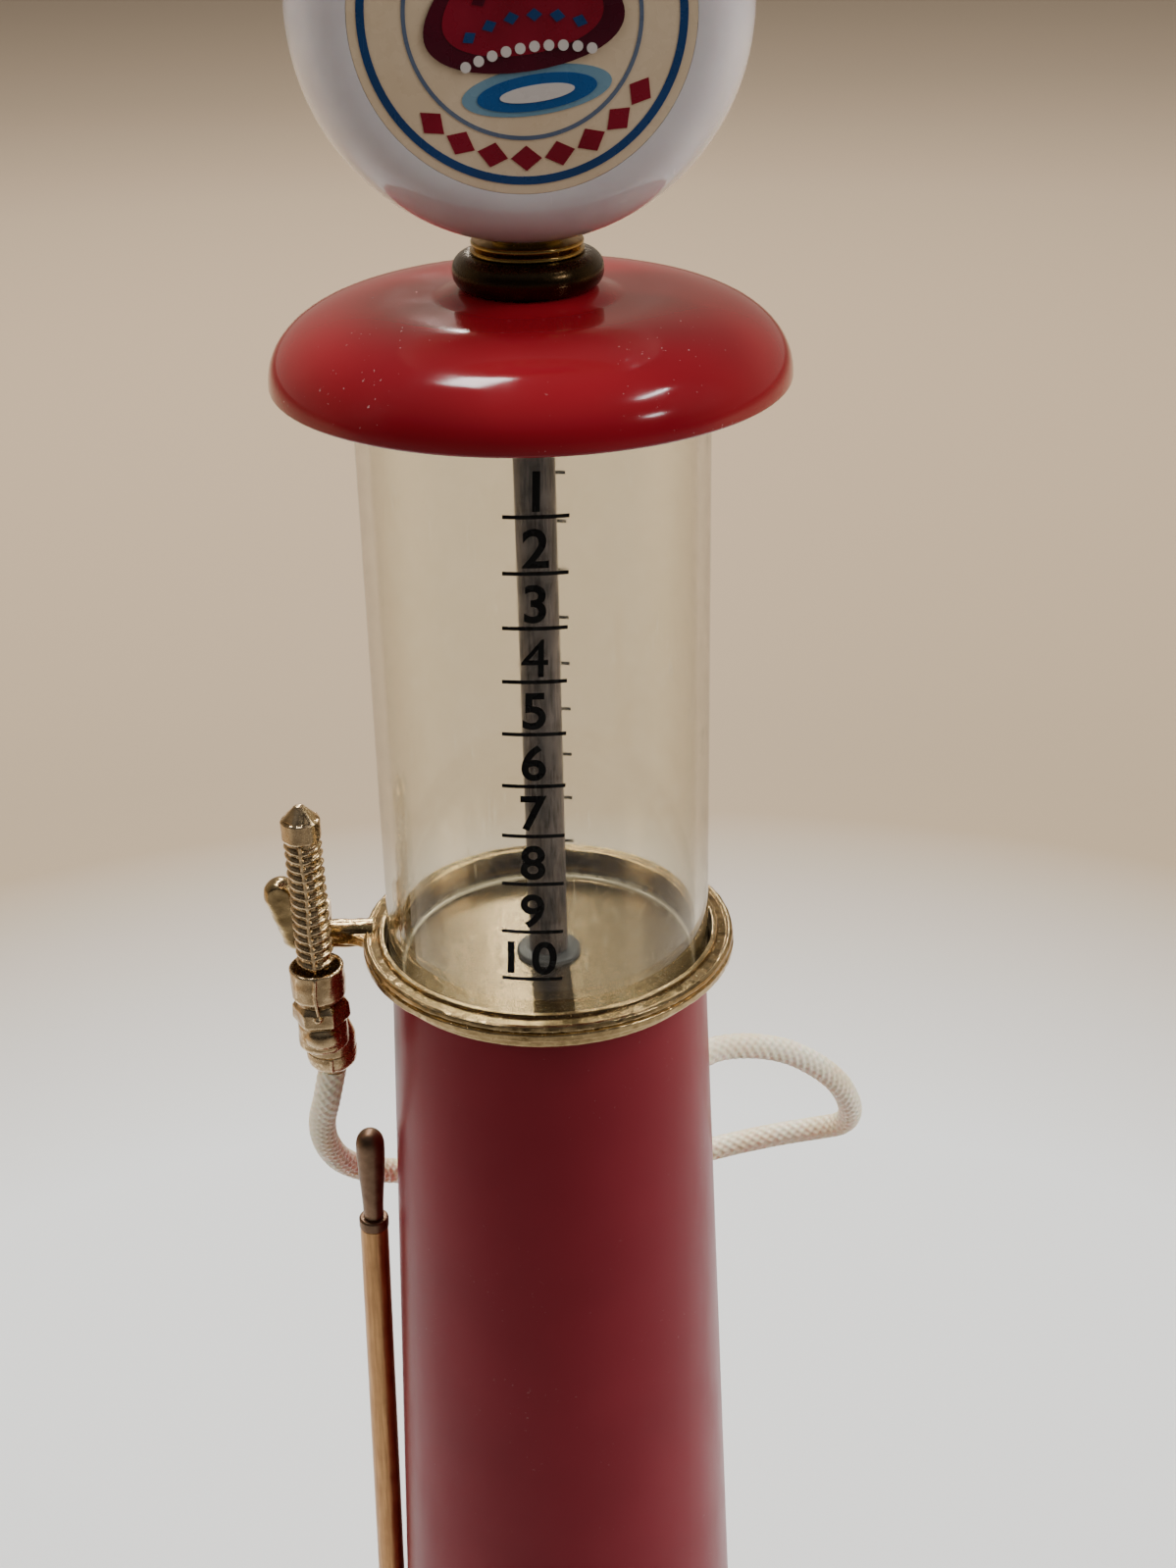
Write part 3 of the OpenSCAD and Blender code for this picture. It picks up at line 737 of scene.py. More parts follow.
def dropOutline(s, scale, count=96):
    points = []
    for k in range(count):
        t = 2 * math.pi * (k + 0.5) / count
        points.append((scale * s["dropWide"] * math.sin(t) * math.sin(t / 2) ** 1.6,
                       s["dropUp"] + scale * s["dropHalf"] * math.cos(t)))
    return points


def addPrint(name, s, face):
    # a generic fuel drop over ripples, inside two rings, with a row of lozenges below
    ink = s["ink"]
    wide, tall, at = s["ripple"]

    def ringPrint(inner, outer):
        return revolve("ring", [(inner, 0), (outer, 0), (outer, ink), (inner, ink)], 144)

    def ripple(scale, drop):
        return plate("ripple", ellipse(0.2, at - drop, scale * wide, (1.3 * scale - 0.3) * tall), 0, ink)

    def chips(count, radius, middle, sweep, corners, long, wideChip, up):
        row = grown("chips", chipTree, {
            "Count": count, "Radius": radius, "Start": radians(middle - sweep / 2), "Sweep": radians(sweep),
            "Corners": corners, "Long": long, "Wide": wideChip, "Thick": ink})
        return placed(row, Matrix.Translation((0, up, 0)))

    prints = [
        ("BlueRing", ringPrint(*s["blueRing"]), 0, inkBlue),
        ("SlateRing", ringPrint(*s["slateRing"]), 0, inkSlate),
        ("RippleSky", ripple(1, 0), 0, inkSky),
        ("RippleBlue", ripple(0.8, 0.1), ink, inkMid),
        ("RippleCream", ripple(0.5, 0.15), 2 * ink, inkWhite),
        ("Drop", plate("drop", dropOutline(s, 1), 0, ink), 3 * ink, inkMaroon),
        ("DropHeart", plate("drop", dropOutline(s, 0.8), 0, ink), 4 * ink, inkRed),
        ("Lozenges", chips(*s["lozenges"]), ink / 2, inkRed),
        ("Dots", chips(*s["dots"]), 5.6 * ink, inkWhite),
        ("BlueGems", chips(*s["blueGems"]), 5.6 * ink, inkBlue),
        ("DarkGems", chips(*s["darkGems"]), 5.6 * ink, inkMaroon),
    ]
    for label, piece, lift, finish in prints:
        piece.name = name + label
        finishPiece(placed(piece, face @ Matrix.Translation((0, 0, lift))), "globe", finish)


chipTree = arcRowTree()
addGlobe(globeSettings)
print("globe done")


# ---------- neck

neckSettings = {
    "bead": 1.15,       # half the ring's thickness
    "beadPower": 2.2,
    "waist": 0.35,      # how far the sleeve draws in between its rims
}


def addNeck(s):
    ring, sleeve, stem = cadBox("neck_ring"), cadBox("neck_sleeve"), cadBox("globe_stem")
    low, top, bore = ring["low"].z, ring["high"].z, stem["r"] + slip
    r = ring["r"] - s["bead"]
    bead = bulge(r, (low + top) / 2, s["bead"], (top - low) / 2, -80, 80, s["beadPower"], 24)
    profile = [(bore, low), (r + 0.15, low)] + bead + [(r, top), (bore, top)]
    turnedPiece("neckRing", "neck_ring", profile, 160, neckFinish)
    base, lip, r = sleeve["low"].z, sleeve["high"].z, sleeve["r"]
    waist = r - s["waist"]
    profile = fillet([
        (bore, base), (r + 0.05, base, 0.12), (r + 0.05, base + 0.3, 0.12), (waist, base + 0.52, 0.1),
        (waist, lip - 0.45, 0.1), (r, lip - 0.3, 0.12), (r, lip, 0.14), (bore, lip)])
    turnedPiece("neckSleeve", "neck_sleeve", profile, 160, sleeveFinish)
    low, top, r = stem["low"].z, stem["high"].z, stem["r"]
    shaft = fillet([(0, low), (r, low, 0.3), (r, top), (0, top)])
    turnedPiece("globeStem", "globe_stem", shaft, 64, sleeveFinish, "globe")


addNeck(neckSettings)


# ---------- cap

capSettings = {
    "power": 2.2,
    "shoulder": 9.2,
    "lip": 0.45,
    "sill": 0.3,        # the lip's round, above the rim
    "ceiling": 3.4,     # the underside, above the rim
    "ceilingFlat": 14.2,
    "wall": 1.0,
    "boss": 0.5,
    "gasketR": (11.45, 12.95),
}


def addCap(s):
    box, ring, gasket = cadBox("cap"), cadBox("neck_ring"), cadBox("cap_gasket")
    edge, rim, top = box["r"], box["low"].z, box["high"].z
    flat, sill, under = top - s["boss"], rim + s["sill"], s["ceilingFlat"]
    ceiling = rim + s["ceiling"]
    outer = bulge(edge - s["shoulder"], sill, s["shoulder"], flat - sill, 0, 90, s["power"], 48)
    inner = bulge(under, sill, edge - under - s["wall"], ceiling - sill, 90, 0, 2, 16)
    lip = bulge(edge - s["lip"], sill, s["lip"], s["sill"], 180, 360, 2, 12)
    rise = [(ring["r"] + 1.6 - 2.2 * k / 10, flat + s["boss"] * (3 - 2 * k / 10) * (k / 10) ** 2)
            for k in range(11)]    # an S curve from the flat up to the boss under the neck
    profile = [(pipeHole, ceiling), (under, ceiling)] + inner + lip + outer + rise + [(pipeHole, top)]
    turnedPiece("capLid", "cap", profile, 224, capFinish)
    low, high = gasket["low"].z, gasket["high"].z
    inside, outside = s["gasketR"]
    profile = fillet([(inside, low), (outside, low, 0.1), (outside, high, 0.1), (inside, high)])
    turnedPiece("capGasket", "cap_gasket", profile, 128, rubberFinish)


addCap(capSettings)
print("cap and neck done")


# ---------- fuel cylinder and gauge

tubeSettings = {"wall": 1.0, "edge": 0.15}

gaugeSettings = {
    "count": 10,
    "top": 38.7,           # height of the first stroke above the collar's lip
    "pitch": 4.0,
    "strokeLong": 4.5,
    "strokeThick": 0.27,
    "proud": 0.03,
    "figureHigh": 2.8,
    "figureLift": 0.42,
    "bold": 0.019,
    "unbolded": (4,),      # its eye would close
    "side": 0.3,           # the scale starts this far to the right
    "slant": 0.037,        # and runs this much to the left for each millimetre down
    "backTop": 37.5,
    "backPitch": 4.05,
    "backLong": 4.2,
    "backTurn": 0.7,
}


def addFuelCylinder(s):
    box, edge = cadBox("fuel_cylinder"), s["edge"]
    low, high, r = box["low"].z, box["high"].z, box["r"]
    inner = r - s["wall"]
    profile = fillet([(inner, low, edge), (r, low, edge), (r, high, edge), (inner, high, edge)], 4)
    turnedPiece("fuelCylinder", "fuel_cylinder", profile, 192, acrylicFinish)
    return r


def wrapped(obj, radius, height):
    # bends a flat print round the front: X becomes the angle, Y the height, Z the distance out
    for vertex in obj.data.vertices:
        x, y, z = vertex.co
        angle = x / radius - math.pi / 2
        vertex.co = ((radius + z) * math.cos(angle), (radius + z) * math.sin(angle), height + y)
    tidyMesh(obj, 30)
    return obj


def figure(number, s):
    # one number as a thin solid, its foot at y = 0 and centred on x = 0
    text = bpy.data.curves.new("figure", "FONT")
    text.body = str(number)
    text.offset = 0 if number in s["unbolded"] else s["bold"]
    text.space_character = 1.3
    flat = bpy.data.objects.new("figure", text)
    bpy.context.scene.collection.objects.link(flat)
    bpy.context.view_layer.update()
    mesh = bpy.data.meshes.new_from_object(flat.evaluated_get(bpy.context.evaluated_depsgraph_get()))
    bpy.data.objects.remove(flat)
    work = bmesh.new()
    work.from_mesh(mesh)
    bmesh.ops.remove_doubles(work, verts=work.verts, dist=1e-5)
    bmesh.ops.triangulate(work, faces=work.faces)
    bmesh.ops.subdivide_edges(work, edges=[e for e in work.edges if e.calc_length() > 0.12], cuts=2)
    bmesh.ops.triangulate(work, faces=work.faces)
    xs, ys = [v.co.x for v in work.verts], [v.co.y for v in work.verts]
    scale = s["figureHigh"] / (max(ys) - min(ys))
    middle, foot = (max(xs) + min(xs)) / 2, min(ys)
    for vertex in work.verts:
        vertex.co = ((vertex.co.x - middle) * scale, (vertex.co.y - foot) * scale, 0)
    top = bmesh.ops.extrude_face_region(work, geom=work.faces[:])
    for item in top["geom"]:
        if isinstance(item, bmesh.types.BMVert):
            item.co.z = s["proud"]
    work.to_mesh(mesh)
    work.free()
    obj = bpy.data.objects.new("figure", mesh)
    bpy.context.scene.collection.objects.link(obj)
    return obj


def slanted(obj, s, top, radius):
    # turns every height of the scale round the axis by the print's slant
    for vertex in obj.data.vertices:
        turn = (s["side"] - s["slant"] * (top - vertex.co.z)) / radius
        vertex.co = Matrix.Rotation(turn, 3, "Z") @ vertex.co
    return obj


def addGauge(s, radius):
    lip = cadBox("floor_plate")["high"].z + 2.2
    tree = arcStackTree(False)
    for name, top, pitch, long, middle, seed in (
            ("gaugeFront", s["top"], s["pitch"], s["strokeLong"], -90, 3),
            ("gaugeBack", s["backTop"], s["backPitch"], s["backLong"], 90 - s["backTurn"], 8)):
        sweep = long / radius
        strokes = grown(name, tree, {
            "Count": s["count"], "Pitch": pitch, "Radius": radius + s["proud"] / 2 + 0.004,
            "Start": radians(middle) - sweep / 2, "Sweep": sweep, "Thick": s["strokeThick"],
            "Proud": s["proud"], "Tilt": 0.0, "Jitter": 0.05, "Seed": seed})
        placed(strokes, Matrix.Translation((0, 0, lip + top)))
        if name == "gaugeFront":
            slanted(strokes, s, lip + top, radius)
        finishPiece(strokes, "pump", inkBlack)
    figures = []
    for k in range(s["count"]):
        height = lip + s["top"] - k * s["pitch"] + s["figureLift"]
        figures.append(wrapped(figure(k + 1, s), radius + 0.012, height))
    figures = slanted(joined("gaugeFigures", figures), s, lip + s["top"], radius)
    finishPiece(figures, "pump", inkBlack)


tubeRadius = addFuelCylinder(tubeSettings)
addGauge(gaugeSettings, tubeRadius)
print("cylinder and gauge done")


# ---------- inside the cylinder

insideSettings = {
    "floorR": 12.93,
    "floorLip": 11.5,        # inner edge of the floor's raised rim
    "sunk": 0.07,            # the floor inside that rim
    "grommetSlim": 0.35,     # how much slimmer the grommet looks than its solid
    "sealR": (11.6, 12.72),
}


def addInside(s):
    nodes = ("standpipe", "floor_plate", "pipe_grommet", "tube_seal")
    pipe, floor, grommet, seal = (cadBox(node) for node in nodes)
    low, high, r = pipe["low"].z, pipe["high"].z, pipe["r"]
    profile = fillet([(0, low), (r, low, 0.2), (r, high, 0.2), (0, high)])
    turnedPiece("standpipe", "standpipe", profile, 64, pipeFinish)
    low, high = floor["low"].z, floor["high"].z
    edge, lip, sunk = s["floorR"], s["floorLip"], high - s["sunk"]
    profile = fillet([(pipeHole, low), (edge, low), (edge, high, 0.08), (lip, high, 0.05),
                      (lip - 0.15, sunk, 0.05), (pipeHole, sunk)])
    turnedPiece("floorPlate", "floor_plate", profile, 192, floorFinish)
    low, high, wide = grommet["low"].z - s["sunk"], grommet["high"].z, grommet["r"] - s["grommetSlim"]
    profile = fillet([(r, low), (wide, low), (wide - 0.05, high - 0.12, 0.2), (wide - 0.7, high, 0.2),
                      (r, high - 0.06)])
    turnedPiece("pipeGrommet", "pipe_grommet", profile, 64, rubberFinish)
    low, high = seal["low"].z, seal["high"].z
    inside, outside = s["sealR"]
    profile = fillet([(inside, low), (outside, low), (outside, high, 0.05), (inside, high, 0.05)])
    turnedPiece("tubeSeal", "tube_seal", profile, 128, sealFinish)


addInside(insideSettings)


# ---------- collar and hook

collarSettings = {
    "edge": 14.7,
    "bore": 12.96,
    "voxel": 0.09,
    "grainSize": 0.5,
    "grainDepth": 0.05,
    "armY": 0.3,
    "armZ": 2.4,            # above the column's top
    "armRoot": -13.8,
    "armEnd": -20,
    "fingerFoot": (-20.1, 0.3, 130.0),
    "fingerTop": (-21.05, 0.3, 133.95),
    "flare": 2.8,
}


def addCollar(s):
    low, edge, bore = cadBox("column")["high"].z, s["edge"], s["bore"]
    profile = fillet([
        (pipeHole, low), (13.1, low, 0.15), (13.4, low + 0.3, 0.2), (13.5, low + 1.25, 0.12),
        (edge - 0.35, low + 1.38, 0.15), (edge, low + 1.55, 0.12), (edge + 0.03, low + 2.1, 0.12),
        (edge - 0.2, low + 2.2, 0.05), (edge - 0.2, low + 2.3, 0.05), (edge - 0.02, low + 2.42, 0.08),
        (edge - 0.08, low + 2.74, 0.1), (edge - 0.35, low + 2.86, 0.1), (edge - 0.55, low + 2.68, 0.1),
        (13.5, low + 2.78, 0.1), (13.4, low + 3.08, 0.08), (13.02, low + 3.1, 0.1), (bore, low + 2.5, 0.1),
        (bore, low + 0.46), (pipeHole, low + 0.46)], 4)
    ring = revolve("collarRing", profile, 360, 50)
    roughen(ring, s["grainSize"], s["grainDepth"], lambda p: 1.0 if math.hypot(p.x, p.y) > 13.45 else 0.25)
    finishPiece(ring, "pump", goldFinish, "collar")

    # the arm: two ribs on a web that flares into the ring, and a thick upturned finger
    y, z = s["armY"], low + s["armZ"]
    root, end = s["armRoot"], s["armEnd"]
    foot, top = Vector(s["fingerFoot"]), Vector(s["fingerTop"])
    count = 12
    finger = sweepTube("finger", [foot.lerp(top, k / count) for k in range(count + 1)],
                       [1.05 + 0.32 * k / count for k in range(count + 1)], 32)
    dome = placed(revolve("dome", bulge(0, 0, 1.37, 1.4, -90, 90, 2.3, 16), 32), Matrix.Translation(top))
    heel = placed(revolve("heel", bulge(0, 0, 1.1, 1.0, -90, 90, 2, 12), 32), Matrix.Translation(foot))
    for part in (finger, dome, heel):
        for vertex in part.data.vertices:
            vertex.co.y = max(vertex.co.y, y - 1.0)
    web = []
    for k in range(9):
        t = radians(90 * k / 8)
        web.append((s["flare"] * math.sin(t) - 16.7, 0.75 + s["flare"] * (1 - math.cos(t))))
    outline = web + [(x, -v) for x, v in web[::-1]]
    parts = [
        sweepTube("arm", [Vector((x, y, z + 0.35)) for x in (root, end)], 0.84, 24),
        sweepTube("arm", [Vector((x, y, z - 0.55)) for x in (root, end)], 0.68, 24),
        placed(plate("web", outline, z - 0.6, z + 0.35), Matrix.Translation((0, y, 0))),
        finger, dome, heel,
    ]
    arm = cast("hookArm", parts, s["voxel"], 3)
    roughen(arm, 0.8, 0.06)
    finishPiece(arm, "pump", goldFinish)


addCollar(collarSettings)
print("collar done")


# ---------- nozzle

nozzleSettings = {
    "barrelLow": 2.6,    # above the valve's middle, like the heights in the code
    "barrelR": 1.27,
    "tipR": 1.52,
    "valveR": 2.15,
    "ribs": 14,
    "ribPitch": 0.78,
    "ribSweep": 97,
    "ribThick": 0.21,
    "voxel": 0.07,
}


def hexed(obj, low, high, radius, turn):
    # trims a round bar to six flats between two heights
    for vertex in obj.data.vertices:
        x, y, z = vertex.co
        if low < z < high:
            angle = (math.atan2(y, x) - turn) % (math.pi / 3) - math.pi / 6
            limit = radius * math.cos(math.pi / 6) / math.cos(angle)
            reach = math.hypot(x, y)
            if reach > limit:
                vertex.co.x, vertex.co.y = x * limit / reach, y * limit / reach


def nozzlePiece(name, node, parts, seat, voxel, grainSize, grainDepth):
    # a small casting; with a voxel size its parts are melted together
    piece = cast(name, parts, voxel, 1) if voxel else parts[0]
    roughen(piece, grainSize, grainDepth)
    finishPiece(placed(piece, seat), "nozzle", nozzleFinish, node)


def addNozzle(s):
    valve, tip, voxel = cadBox("nozzle_valve"), cadBox("nozzle_tip"), s["voxel"]
    seat = axisFrame(valve["mid"], tip["mid"])
    low, high, top = s["barrelLow"], tip["low"].z - valve["mid"].z, tip["high"].z - valve["mid"].z
    r = s["tipR"]
    cap = revolve("nozzleTip", fillet([
        (0, high), (r - 0.1, high, 0.15), (r, high + 0.2, 0.15), (r, high + 1.65, 0.1),
        (r - 0.12, high + 1.85, 0.08), (0.32, top - 0.12, 0.2), (0, top)]), 72, 30)
    hexed(cap, high + 1.8, top - 0.1, 1.45, 0.3)
    nozzlePiece("nozzleTip", "nozzle_tip", [cap], seat, 0, 0.5, 0.06)

    # ribs on either side of the mould line, leaning down towards it
    ribTree = arcStackTree(True)
    core = s["barrelR"]
    parts = [revolve("core", fillet([(0, low - 1), (core, low - 1), (core, high), (0, high)]), 48)]
    for start, lean in ((168, 10), (275, -10)):
        ribs = grown("ribs", ribTree, {
            "Count": s["ribs"], "Pitch": s["ribPitch"], "Radius": core + 0.03, "Start": radians(start),
            "Sweep": radians(s["ribSweep"]), "Thick": s["ribThick"], "Proud": 0.1, "Tilt": radians(lean),
            "Jitter": 0.04, "Seed": 5})
        parts.append(placed(ribs, Matrix.Translation((0, 0, high - 0.7))))
    seam = [Vector((0.06 * math.sin(k), -core - 0.1, low + (high - low) * k / 12)) for k in range(13)]
    parts.append(sweepTube("seam", seam, 0.16, 8))
    nozzlePiece("nozzleBarrel", "nozzle_barrel", parts, seat, voxel, 0.5, 0.04)

    # the valve: a cup, a bevelled six-sided body and a foot with a rounded tab at the front
    v = s["valveR"]
    cup = revolve("cup", fillet([
        (0, 0.2), (1.5, 0.2), (v, 1.2, 0.25), (v, 3.7, 0.12), (v - 0.34, 3.7, 0.12), (v - 0.42, 2.4, 0.2),
        (0, 2.4)]), 96)
    body = revolve("body", fillet([
        (0, -1.6), (1.7, -1.6, 0.2), (2.3, -1.0, 0.15), (2.3, 0.1, 0.15), (1.5, 1.0), (0, 1.0)]), 96)
    hexed(body, -2, 2, 2.3, radians(120))
    foot = revolve("foot", fillet([
        (0, -3.7), (1.75, -3.7, 0.3), (2.0, -3.3, 0.2), (1.95, -1.2, 0.3), (0, -1.2)]), 72)
    tab = revolve("tab", bulge(0, 0, 1.25, 0.95, -90, 90, 2.6, 16), 48)
    tab = placed(tab, Matrix.Translation((0.15, -1.35, -2.2)) @ Matrix.Diagonal((1.1, 0.75, 1, 1)))
    knob = revolve("knob", bulge(0, 0, 0.34, 0.3, -90, 90, 2, 10), 20)
    knob = placed(knob, Matrix.Translation((0.05, -2.2, -0.1)))
    seam = [Vector((0.1 - 0.15 * math.sin(0.5 * k), -v - 0.02, 3.5 - 3.2 * k / 6)) for k in range(7)]
    seam = sweepTube("seam", seam, 0.13, 8)
    nozzlePiece("nozzleValve", "nozzle_valve", [cup, body, foot, tab, knob, seam], seat, voxel, 0.9, 0.05)

    # knuckle and domed ferrule over the hose's end, with the mould line down the front
    over = Matrix.Translation(Vector(hoseSettings["route"][-1]))
    knuckle = revolve("knuckle", fillet([
        (0, 1.75), (1.6, 1.75), (1.98, 1.78, 0.1), (2.0, 3.0, 0.9), (1.5, 4.5, 0.7), (0, 4.85)], 10), 72)
    nozzlePiece("nozzleElbow", "nozzle_elbow", [knuckle], over, voxel, 0.9, 0.03)
    dome = revolve("dome", fillet([
        (0, 0.02), (1.3, 0.0, 0.4), (1.92, 0.6, 0.9), (2.05, 1.3, 0.5), (2.03, 1.88, 0.05), (0, 1.9)],
        10), 96)
    mould = [Vector((0.15, -y, z)) for y, z in ((1.3, 0.1), (1.75, 0.45), (2.0, 1.0), (2.04, 1.8))]
    mould = sweepTube("mould", mould, 0.12, 8)
    nozzlePiece("nozzleFerrule", "nozzle_ferrule", [dome, mould], over, voxel, 0.9, 0.03)


addNozzle(nozzleSettings)
print("nozzle done")


# ---------- hose outlet

outletSettings = {
    "nipple": (14.2, 15.1),    # from the column's axis
    "r": 1.7,
    "hoseR": 1.1,
    "overlap": 0.3,            # how far the hose reaches into the ferrule
}


def addOutlet(s):
    start = Vector(hoseSettings["route"][0])
    middle = Vector((0, 0, start.z))
    seat = axisFrame(middle, middle + Vector((start.x, start.y, 0)).normalized())
    reach = math.hypot(start.x, start.y)
    low, high = s["nipple"]
    r, waist, hoseR, end = s["r"], s["r"] - 0.25, s["hoseR"], reach - s["overlap"]
    profile = fillet([
        (0, low), (r, low, 0.1), (r, low + 0.3, 0.1), (waist, low + 0.5, 0.1), (waist, high), (0, high)])
    turnedPiece("outletNipple", "outlet_nipple", profile, 48, goldFinish, "pump", seat)
    profile = fillet([
        (0, high), (r - 0.15, high, 0.1), (r, high + 0.2, 0.1), (r, high + 0.4, 0.08),
        (r - 0.14, high + 0.5, 0.05), (r, high + 0.62, 0.08), (r, high + 0.9, 0.15), (1.4, reach, 0.1),
        (hoseR + 0.04, reach, 0.03), (hoseR, end), (0, end)])
    turnedPiece("outletFerrule", "outlet_ferrule", profile, 64, goldFinish, "pump", seat)


addOutlet(outletSettings)


# ---------- hand lever

leverSettings = {
    "rodR": 1.2,
    "rodLow": 3.2,        # above the pivot
    "hubR": 2.1,
    "hubBore": 1.05,
    "hubHalf": 0.64,
    "pinDeep": 3.6,
    "pinR": 1.0,
    "slotHalf": 0.2,
    "slotFloor": 0.45,
}


def addLever(s):
    knob, ferrule, pin = cadBox("lever_knob"), cadBox("lever_ferrule"), cadBox("lever_pin")
    swing = next(j for j in frame["joints"] if j["name"] == "lever_swing")
    pivot = Vector((swing["pos_m"][0] / mm, 0, cadBox("lever_boss")["mid"].z))
    seat = axisFrame(pivot, ferrule["mid"])
    shoulder = (ferrule["mid"] - pivot).length + 0.5
    r, low, base = s["rodR"], s["rodLow"], shoulder - 1
    rod = fillet([(0, low), (r - 0.2, low, 0.3), (r, low + 0.8, 0.3), (r, base, 0.1), (0, base)])
    rod = revolve("rod", rod, 48)
    half, hubR, bore = s["hubHalf"], s["hubR"], s["hubBore"]
    tab = plate("tab", [(-half, -1.15), (half, -1.15), (half, 1.15), (-half, 1.15)], 0, 4.2)
    hub = fillet([(bore, -half), (hubR, -half, 0.12), (hubR, half, 0.12), (bore, half)])
    hub = placed(revolve("hub", hub, 64), Matrix.Rotation(radians(90), 4, "Y"))
    tab = placed(tab, Matrix.Translation((0, 0, 1.5)))
    for vertex in tab.data.vertices:
        if vertex.co.z > 4:    # the tab narrows towards the rod
            vertex.co.y *= 0.9
    rod = placed(joined("leverRod", [rod, tab]), seat)
    hub = placed(hub, Matrix.Translation(pivot))
    finishPiece(joined("leverRod", [rod, hub]), "lever", leverFinish, "lever_rod")
    collar = fillet([(0, base), (r + 0.06, base, 0.1), (r + 0.06, shoulder - 0.05, 0.2), (0.8, shoulder)])
    collar = [(0, base)] + collar[1:] + [(0, shoulder)]
    turnedPiece("leverFerrule", "lever_ferrule", collar, 64, knobFinish, "lever", seat)
    high = shoulder + (knob["high"].z - knob["low"].z)
    stalk = [(0.85 + 0.35 * math.sin(radians(15 * k)) ** 2, shoulder + (high - 1.9 - shoulder) * k / 6)
             for k in range(7)]
    profile = [(0, shoulder)] + stalk + bulge(0, high - 1.5, 1.2, 1.5, 0, 90, 2.2, 14)
    turnedPiece("leverKnob", "lever_knob", profile, 64, knobFinish, "lever", seat, 50)

    # the pin's domed, slotted head
    headR, deep, pinR = (pin["high"].z - pin["low"].z) / 2, -s["pinDeep"], s["pinR"]
    head = fillet([(0, deep), (pinR, deep, 0.2), (pinR, 0), (headR, 0, 0.08), (headR, 0.35, 0.15)])
    head = revolve("leverPin", head + bulge(0, 0.35, headR - 0.05, 0.45, 10, 90, 2, 10), 96)
    for vertex in head.data.vertices:
        if abs(vertex.co.y) < s["slotHalf"] and vertex.co.z > s["slotFloor"]:
            vertex.co.z = s["slotFloor"]
    head = placed(head, Matrix.Rotation(radians(-90), 4, "Y"))
    head = placed(head, Matrix.Translation((pin["low"].x + 0.8, 0, pivot.z)))
    finishPiece(head, "pump", steelFinish, "lever_pin")


addLever(leverSettings)
print("lever done")


# ---------- column, foot and pad

columnSettings = {
    "topR": 12.53,
    "wall": 1.6,
    "round": 0.4,    # height of the rounded top edge
    "lid": 3.0,
}

footSettings = {
    "webZ": 9.0,
    "rimZ": 4.2,
    "recess": 2.1,       # the cover plate's seat
    "recessR": 25.3,
    "coveR": 26.0,
    "coveWide": 7.6,
    "coveHigh": 6.6,
}


def addColumn(s):
    box, wall = cadBox("column"), s["wall"]
    low, high, rLow, rHigh = box["low"].z, box["high"].z, box["r"], s["topR"]
    slope = (rLow - rHigh) / (high - low)
    run = high - s["round"] - low
    lid = high - s["lid"]
    outer = [(rLow - slope * run * k / 24, low + run * k / 24) for k in range(25)]
    edge = fillet([(rHigh + 0.02, high - s["round"]), (rHigh, high, 0.3), (pipeHole, high)])
    profile = ([(rLow - wall, low)] + outer + edge[1:]
               + [(pipeHole, lid), (rHigh + s["lid"] * slope - wall, lid)])
    turnedPiece("columnShell", "column", profile, 224, columnFinish)


def addFoot(s):
    box, pad = cadBox("foot"), cadBox("base_pad")
    edge, low, top, rim = box["r"], box["low"].z, cadBox("column")["low"].z, s["rimZ"]
    seat, seatR = s["recess"], s["recessR"]
    quarter = [radians(90 * k / 16) for k in range(1, 17)]
    cove = [(s["coveR"] - s["coveWide"] * math.sin(t), rim + s["coveHigh"] * (1 - math.cos(t)))
            for t in quarter]
    skirt = fillet([(seatR, low), (edge, low, 0.2), (edge, rim, 1.0), (27.0, rim, 0.1),
                    (26.6, rim - 0.2, 0.1), (26.2, rim)])
    profile = ([(pipeHole, s["webZ"]), (13, s["webZ"]), (19, 5.4), (22.5, 3.3), (22.5, seat), (seatR, seat),
                (seatR, low)] + skirt[1:] + cove + bulge(17.4, 12.2, 1.2, 1.2, -60, 90, 2, 14)
               + [(16.9, top), (14.6, top), (14.6, top + 2), (12.6, top + 2), (12.6, top), (pipeHole, top)])
    turnedPiece("footCasting", "foot", profile, 224, columnFinish)
    r, high = pad["r"], pad["high"].z
    profile = fillet([(0, 0), (r, 0, 0.25), (r, high, 0.25), (0, high)])
    turnedPiece("basePad", "base_pad", profile, 160, rubberFinish)


addColumn(columnSettings)
addFoot(footSettings)
print("column and foot done")


# ---------- finishes of the CAD pieces that stay

keptNodes = (
    (steelFinish, ("base_plate", "base_screws", "clamp_washer", "clamp_nut", "lever_washer")),
    (nozzleFinish, ("nozzle_lug",)),
    (goldFinish, ("outlet_flange",)),
    (leverFinish, ("lever_boss", "lever_stop")),
)
for finish, nodes in keptNodes:
    for node in nodes:
        materials = frame["nodes"][node].data.materials
        materials.clear()
        materials.append(finish)


# ---------- stage and light

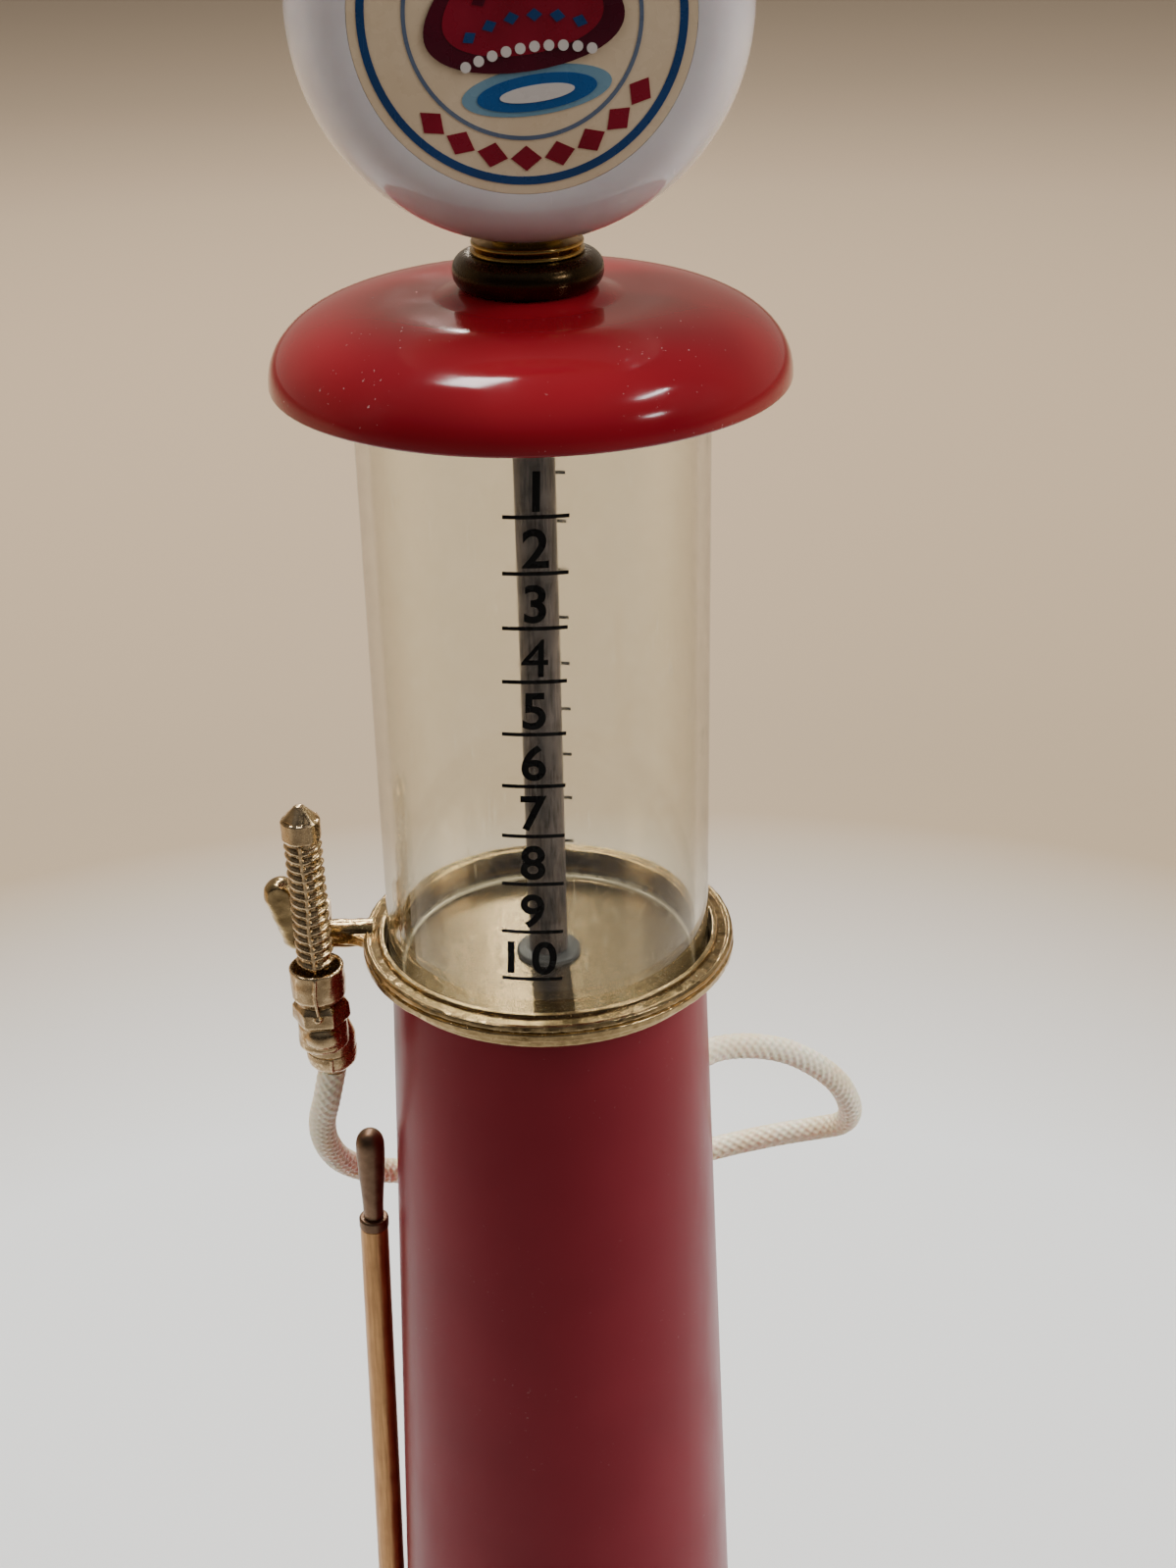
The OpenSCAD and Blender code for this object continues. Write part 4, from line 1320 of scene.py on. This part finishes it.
stageSettings = {
    "size": 6.0,
    "near": (0.8, 0.81, 0.79, 1),
    "middle": (0.42, 0.315, 0.2, 1),
    "far": (0.72, 0.54, 0.36, 1),
    "front": (0.2, 0.19, 0.18, 1),    # a painted shadow: a darker apron in front, which the metal reflects
    "sky": (0.2, 0.2, 0.21, 1),
    "backSky": (0.54, 0.46, 0.36, 1),
    "frontSky": (0.05, 0.045, 0.045, 1),
    "worldStrength": 0.8,
    "lights": [    # name, place, width, height, power, colour, seen in reflections
        ("backLight", (-0.12, 0.78, 1.02), 0.18, 0.08, 4.0, (1, 0.98, 0.95), True),
        ("ceilingLight", (-0.2, 0.17, 1.1), 0.24, 0.17, 5.5, (1, 0.98, 0.96), True),
        ("topLight", (-0.25, 0.1, 0.9), 0.7, 0.7, 4.0, (1, 0.98, 0.96), False),
        ("windowTop", (0.62, -0.16, 0.95), 0.24, 0.025, 2.0, (0.97, 0.98, 1), True),
        ("windowLow", (0.7, -0.47, 0.53), 0.12, 0.03, 0.8, (0.97, 0.98, 1), True),
        ("plateLight", (-0.05, 0.8, 0.61), 0.03, 0.24, 1.6, (1, 0.97, 0.9), True),
        ("rightLight", (0.8, -0.1, 0.55), 0.4, 0.5, 5.5, (0.99, 0.98, 1), False),
        ("leftLight", (-0.8, -0.2, 0.55), 0.25, 0.5, 2.5, (1, 0.98, 0.95), False),
    ],
}


def floorMaterial(s):
    material = bpy.data.materials.new("floorPaper")
    material.use_nodes = True
    tree = material.node_tree
    shader = tree.nodes["Principled BSDF"]
    shader.inputs["Roughness"].default_value = 0.6
    where = treeNode(tree, "ShaderNodeTexCoord").outputs["Object"]
    apart = treeNode(tree, "ShaderNodeSeparateXYZ", {0: where})
    distance = treeNode(tree, "ShaderNodeVectorMath", {0: where}, operation="LENGTH").outputs["Value"]
    beyond = mixed(tree, remapped(tree, distance, 0.3, 0.9), s["middle"], s["far"])
    paper = mixed(tree, remapped(tree, distance, 0.16, 0.27), s["near"], beyond)
    # painted shadow: the floor turns dark grey in front of the pump
    paintedShadowApron = mixed(tree, remapped(tree, apart.outputs["Y"], 0.05, -0.2), paper, s["front"])
    tree.links.new(paintedShadowApron, shader.inputs["Base Color"])
    return material


def studioWorld(s):
    # dim overhead, warm behind the pump and dark behind the camera
    world = bpy.data.worlds.new("world")
    world.use_nodes = True
    tree = world.node_tree
    where = treeNode(tree, "ShaderNodeTexCoord").outputs["Generated"]
    apart = treeNode(tree, "ShaderNodeSeparateXYZ", {0: where})
    around = mixed(tree, remapped(tree, apart.outputs["Y"], -0.5, 0.6), s["frontSky"], s["backSky"])
    sky = mixed(tree, remapped(tree, apart.outputs["Z"], 0.3, 0.8), around, s["sky"])
    background = tree.nodes["Background"]
    tree.links.new(sky, background.inputs["Color"])
    background.inputs["Strength"].default_value = s["worldStrength"]
    return world


def addStage(s):
    half = s["size"] / 2
    mesh = bpy.data.meshes.new("floor")
    corners = [(-half, -half, 0), (half, -half, 0), (half, half, 0), (-half, half, 0)]
    mesh.from_pydata(corners, [], [(0, 1, 2, 3)])
    floor = bpy.data.objects.new("floor", mesh)
    bpy.context.scene.collection.objects.link(floor)
    mesh.materials.append(floorMaterial(s))
    bpy.context.scene.world = studioWorld(s)
    aim = (cadLow + cadHigh) / 2
    for name, place, width, height, power, colour, mirrored in s["lights"]:
        data = bpy.data.lights.new(name, "AREA")
        data.shape = "RECTANGLE"
        data.size, data.size_y, data.energy, data.color = width, height, power, colour
        light = bpy.data.objects.new(name, data)
        light.location = place
        light.visible_glossy = mirrored
        light.rotation_euler = (aim - Vector(place)).to_track_quat("-Z", "Y").to_euler()
        bpy.context.scene.collection.objects.link(light)


addStage(stageSettings)

print("scene done")
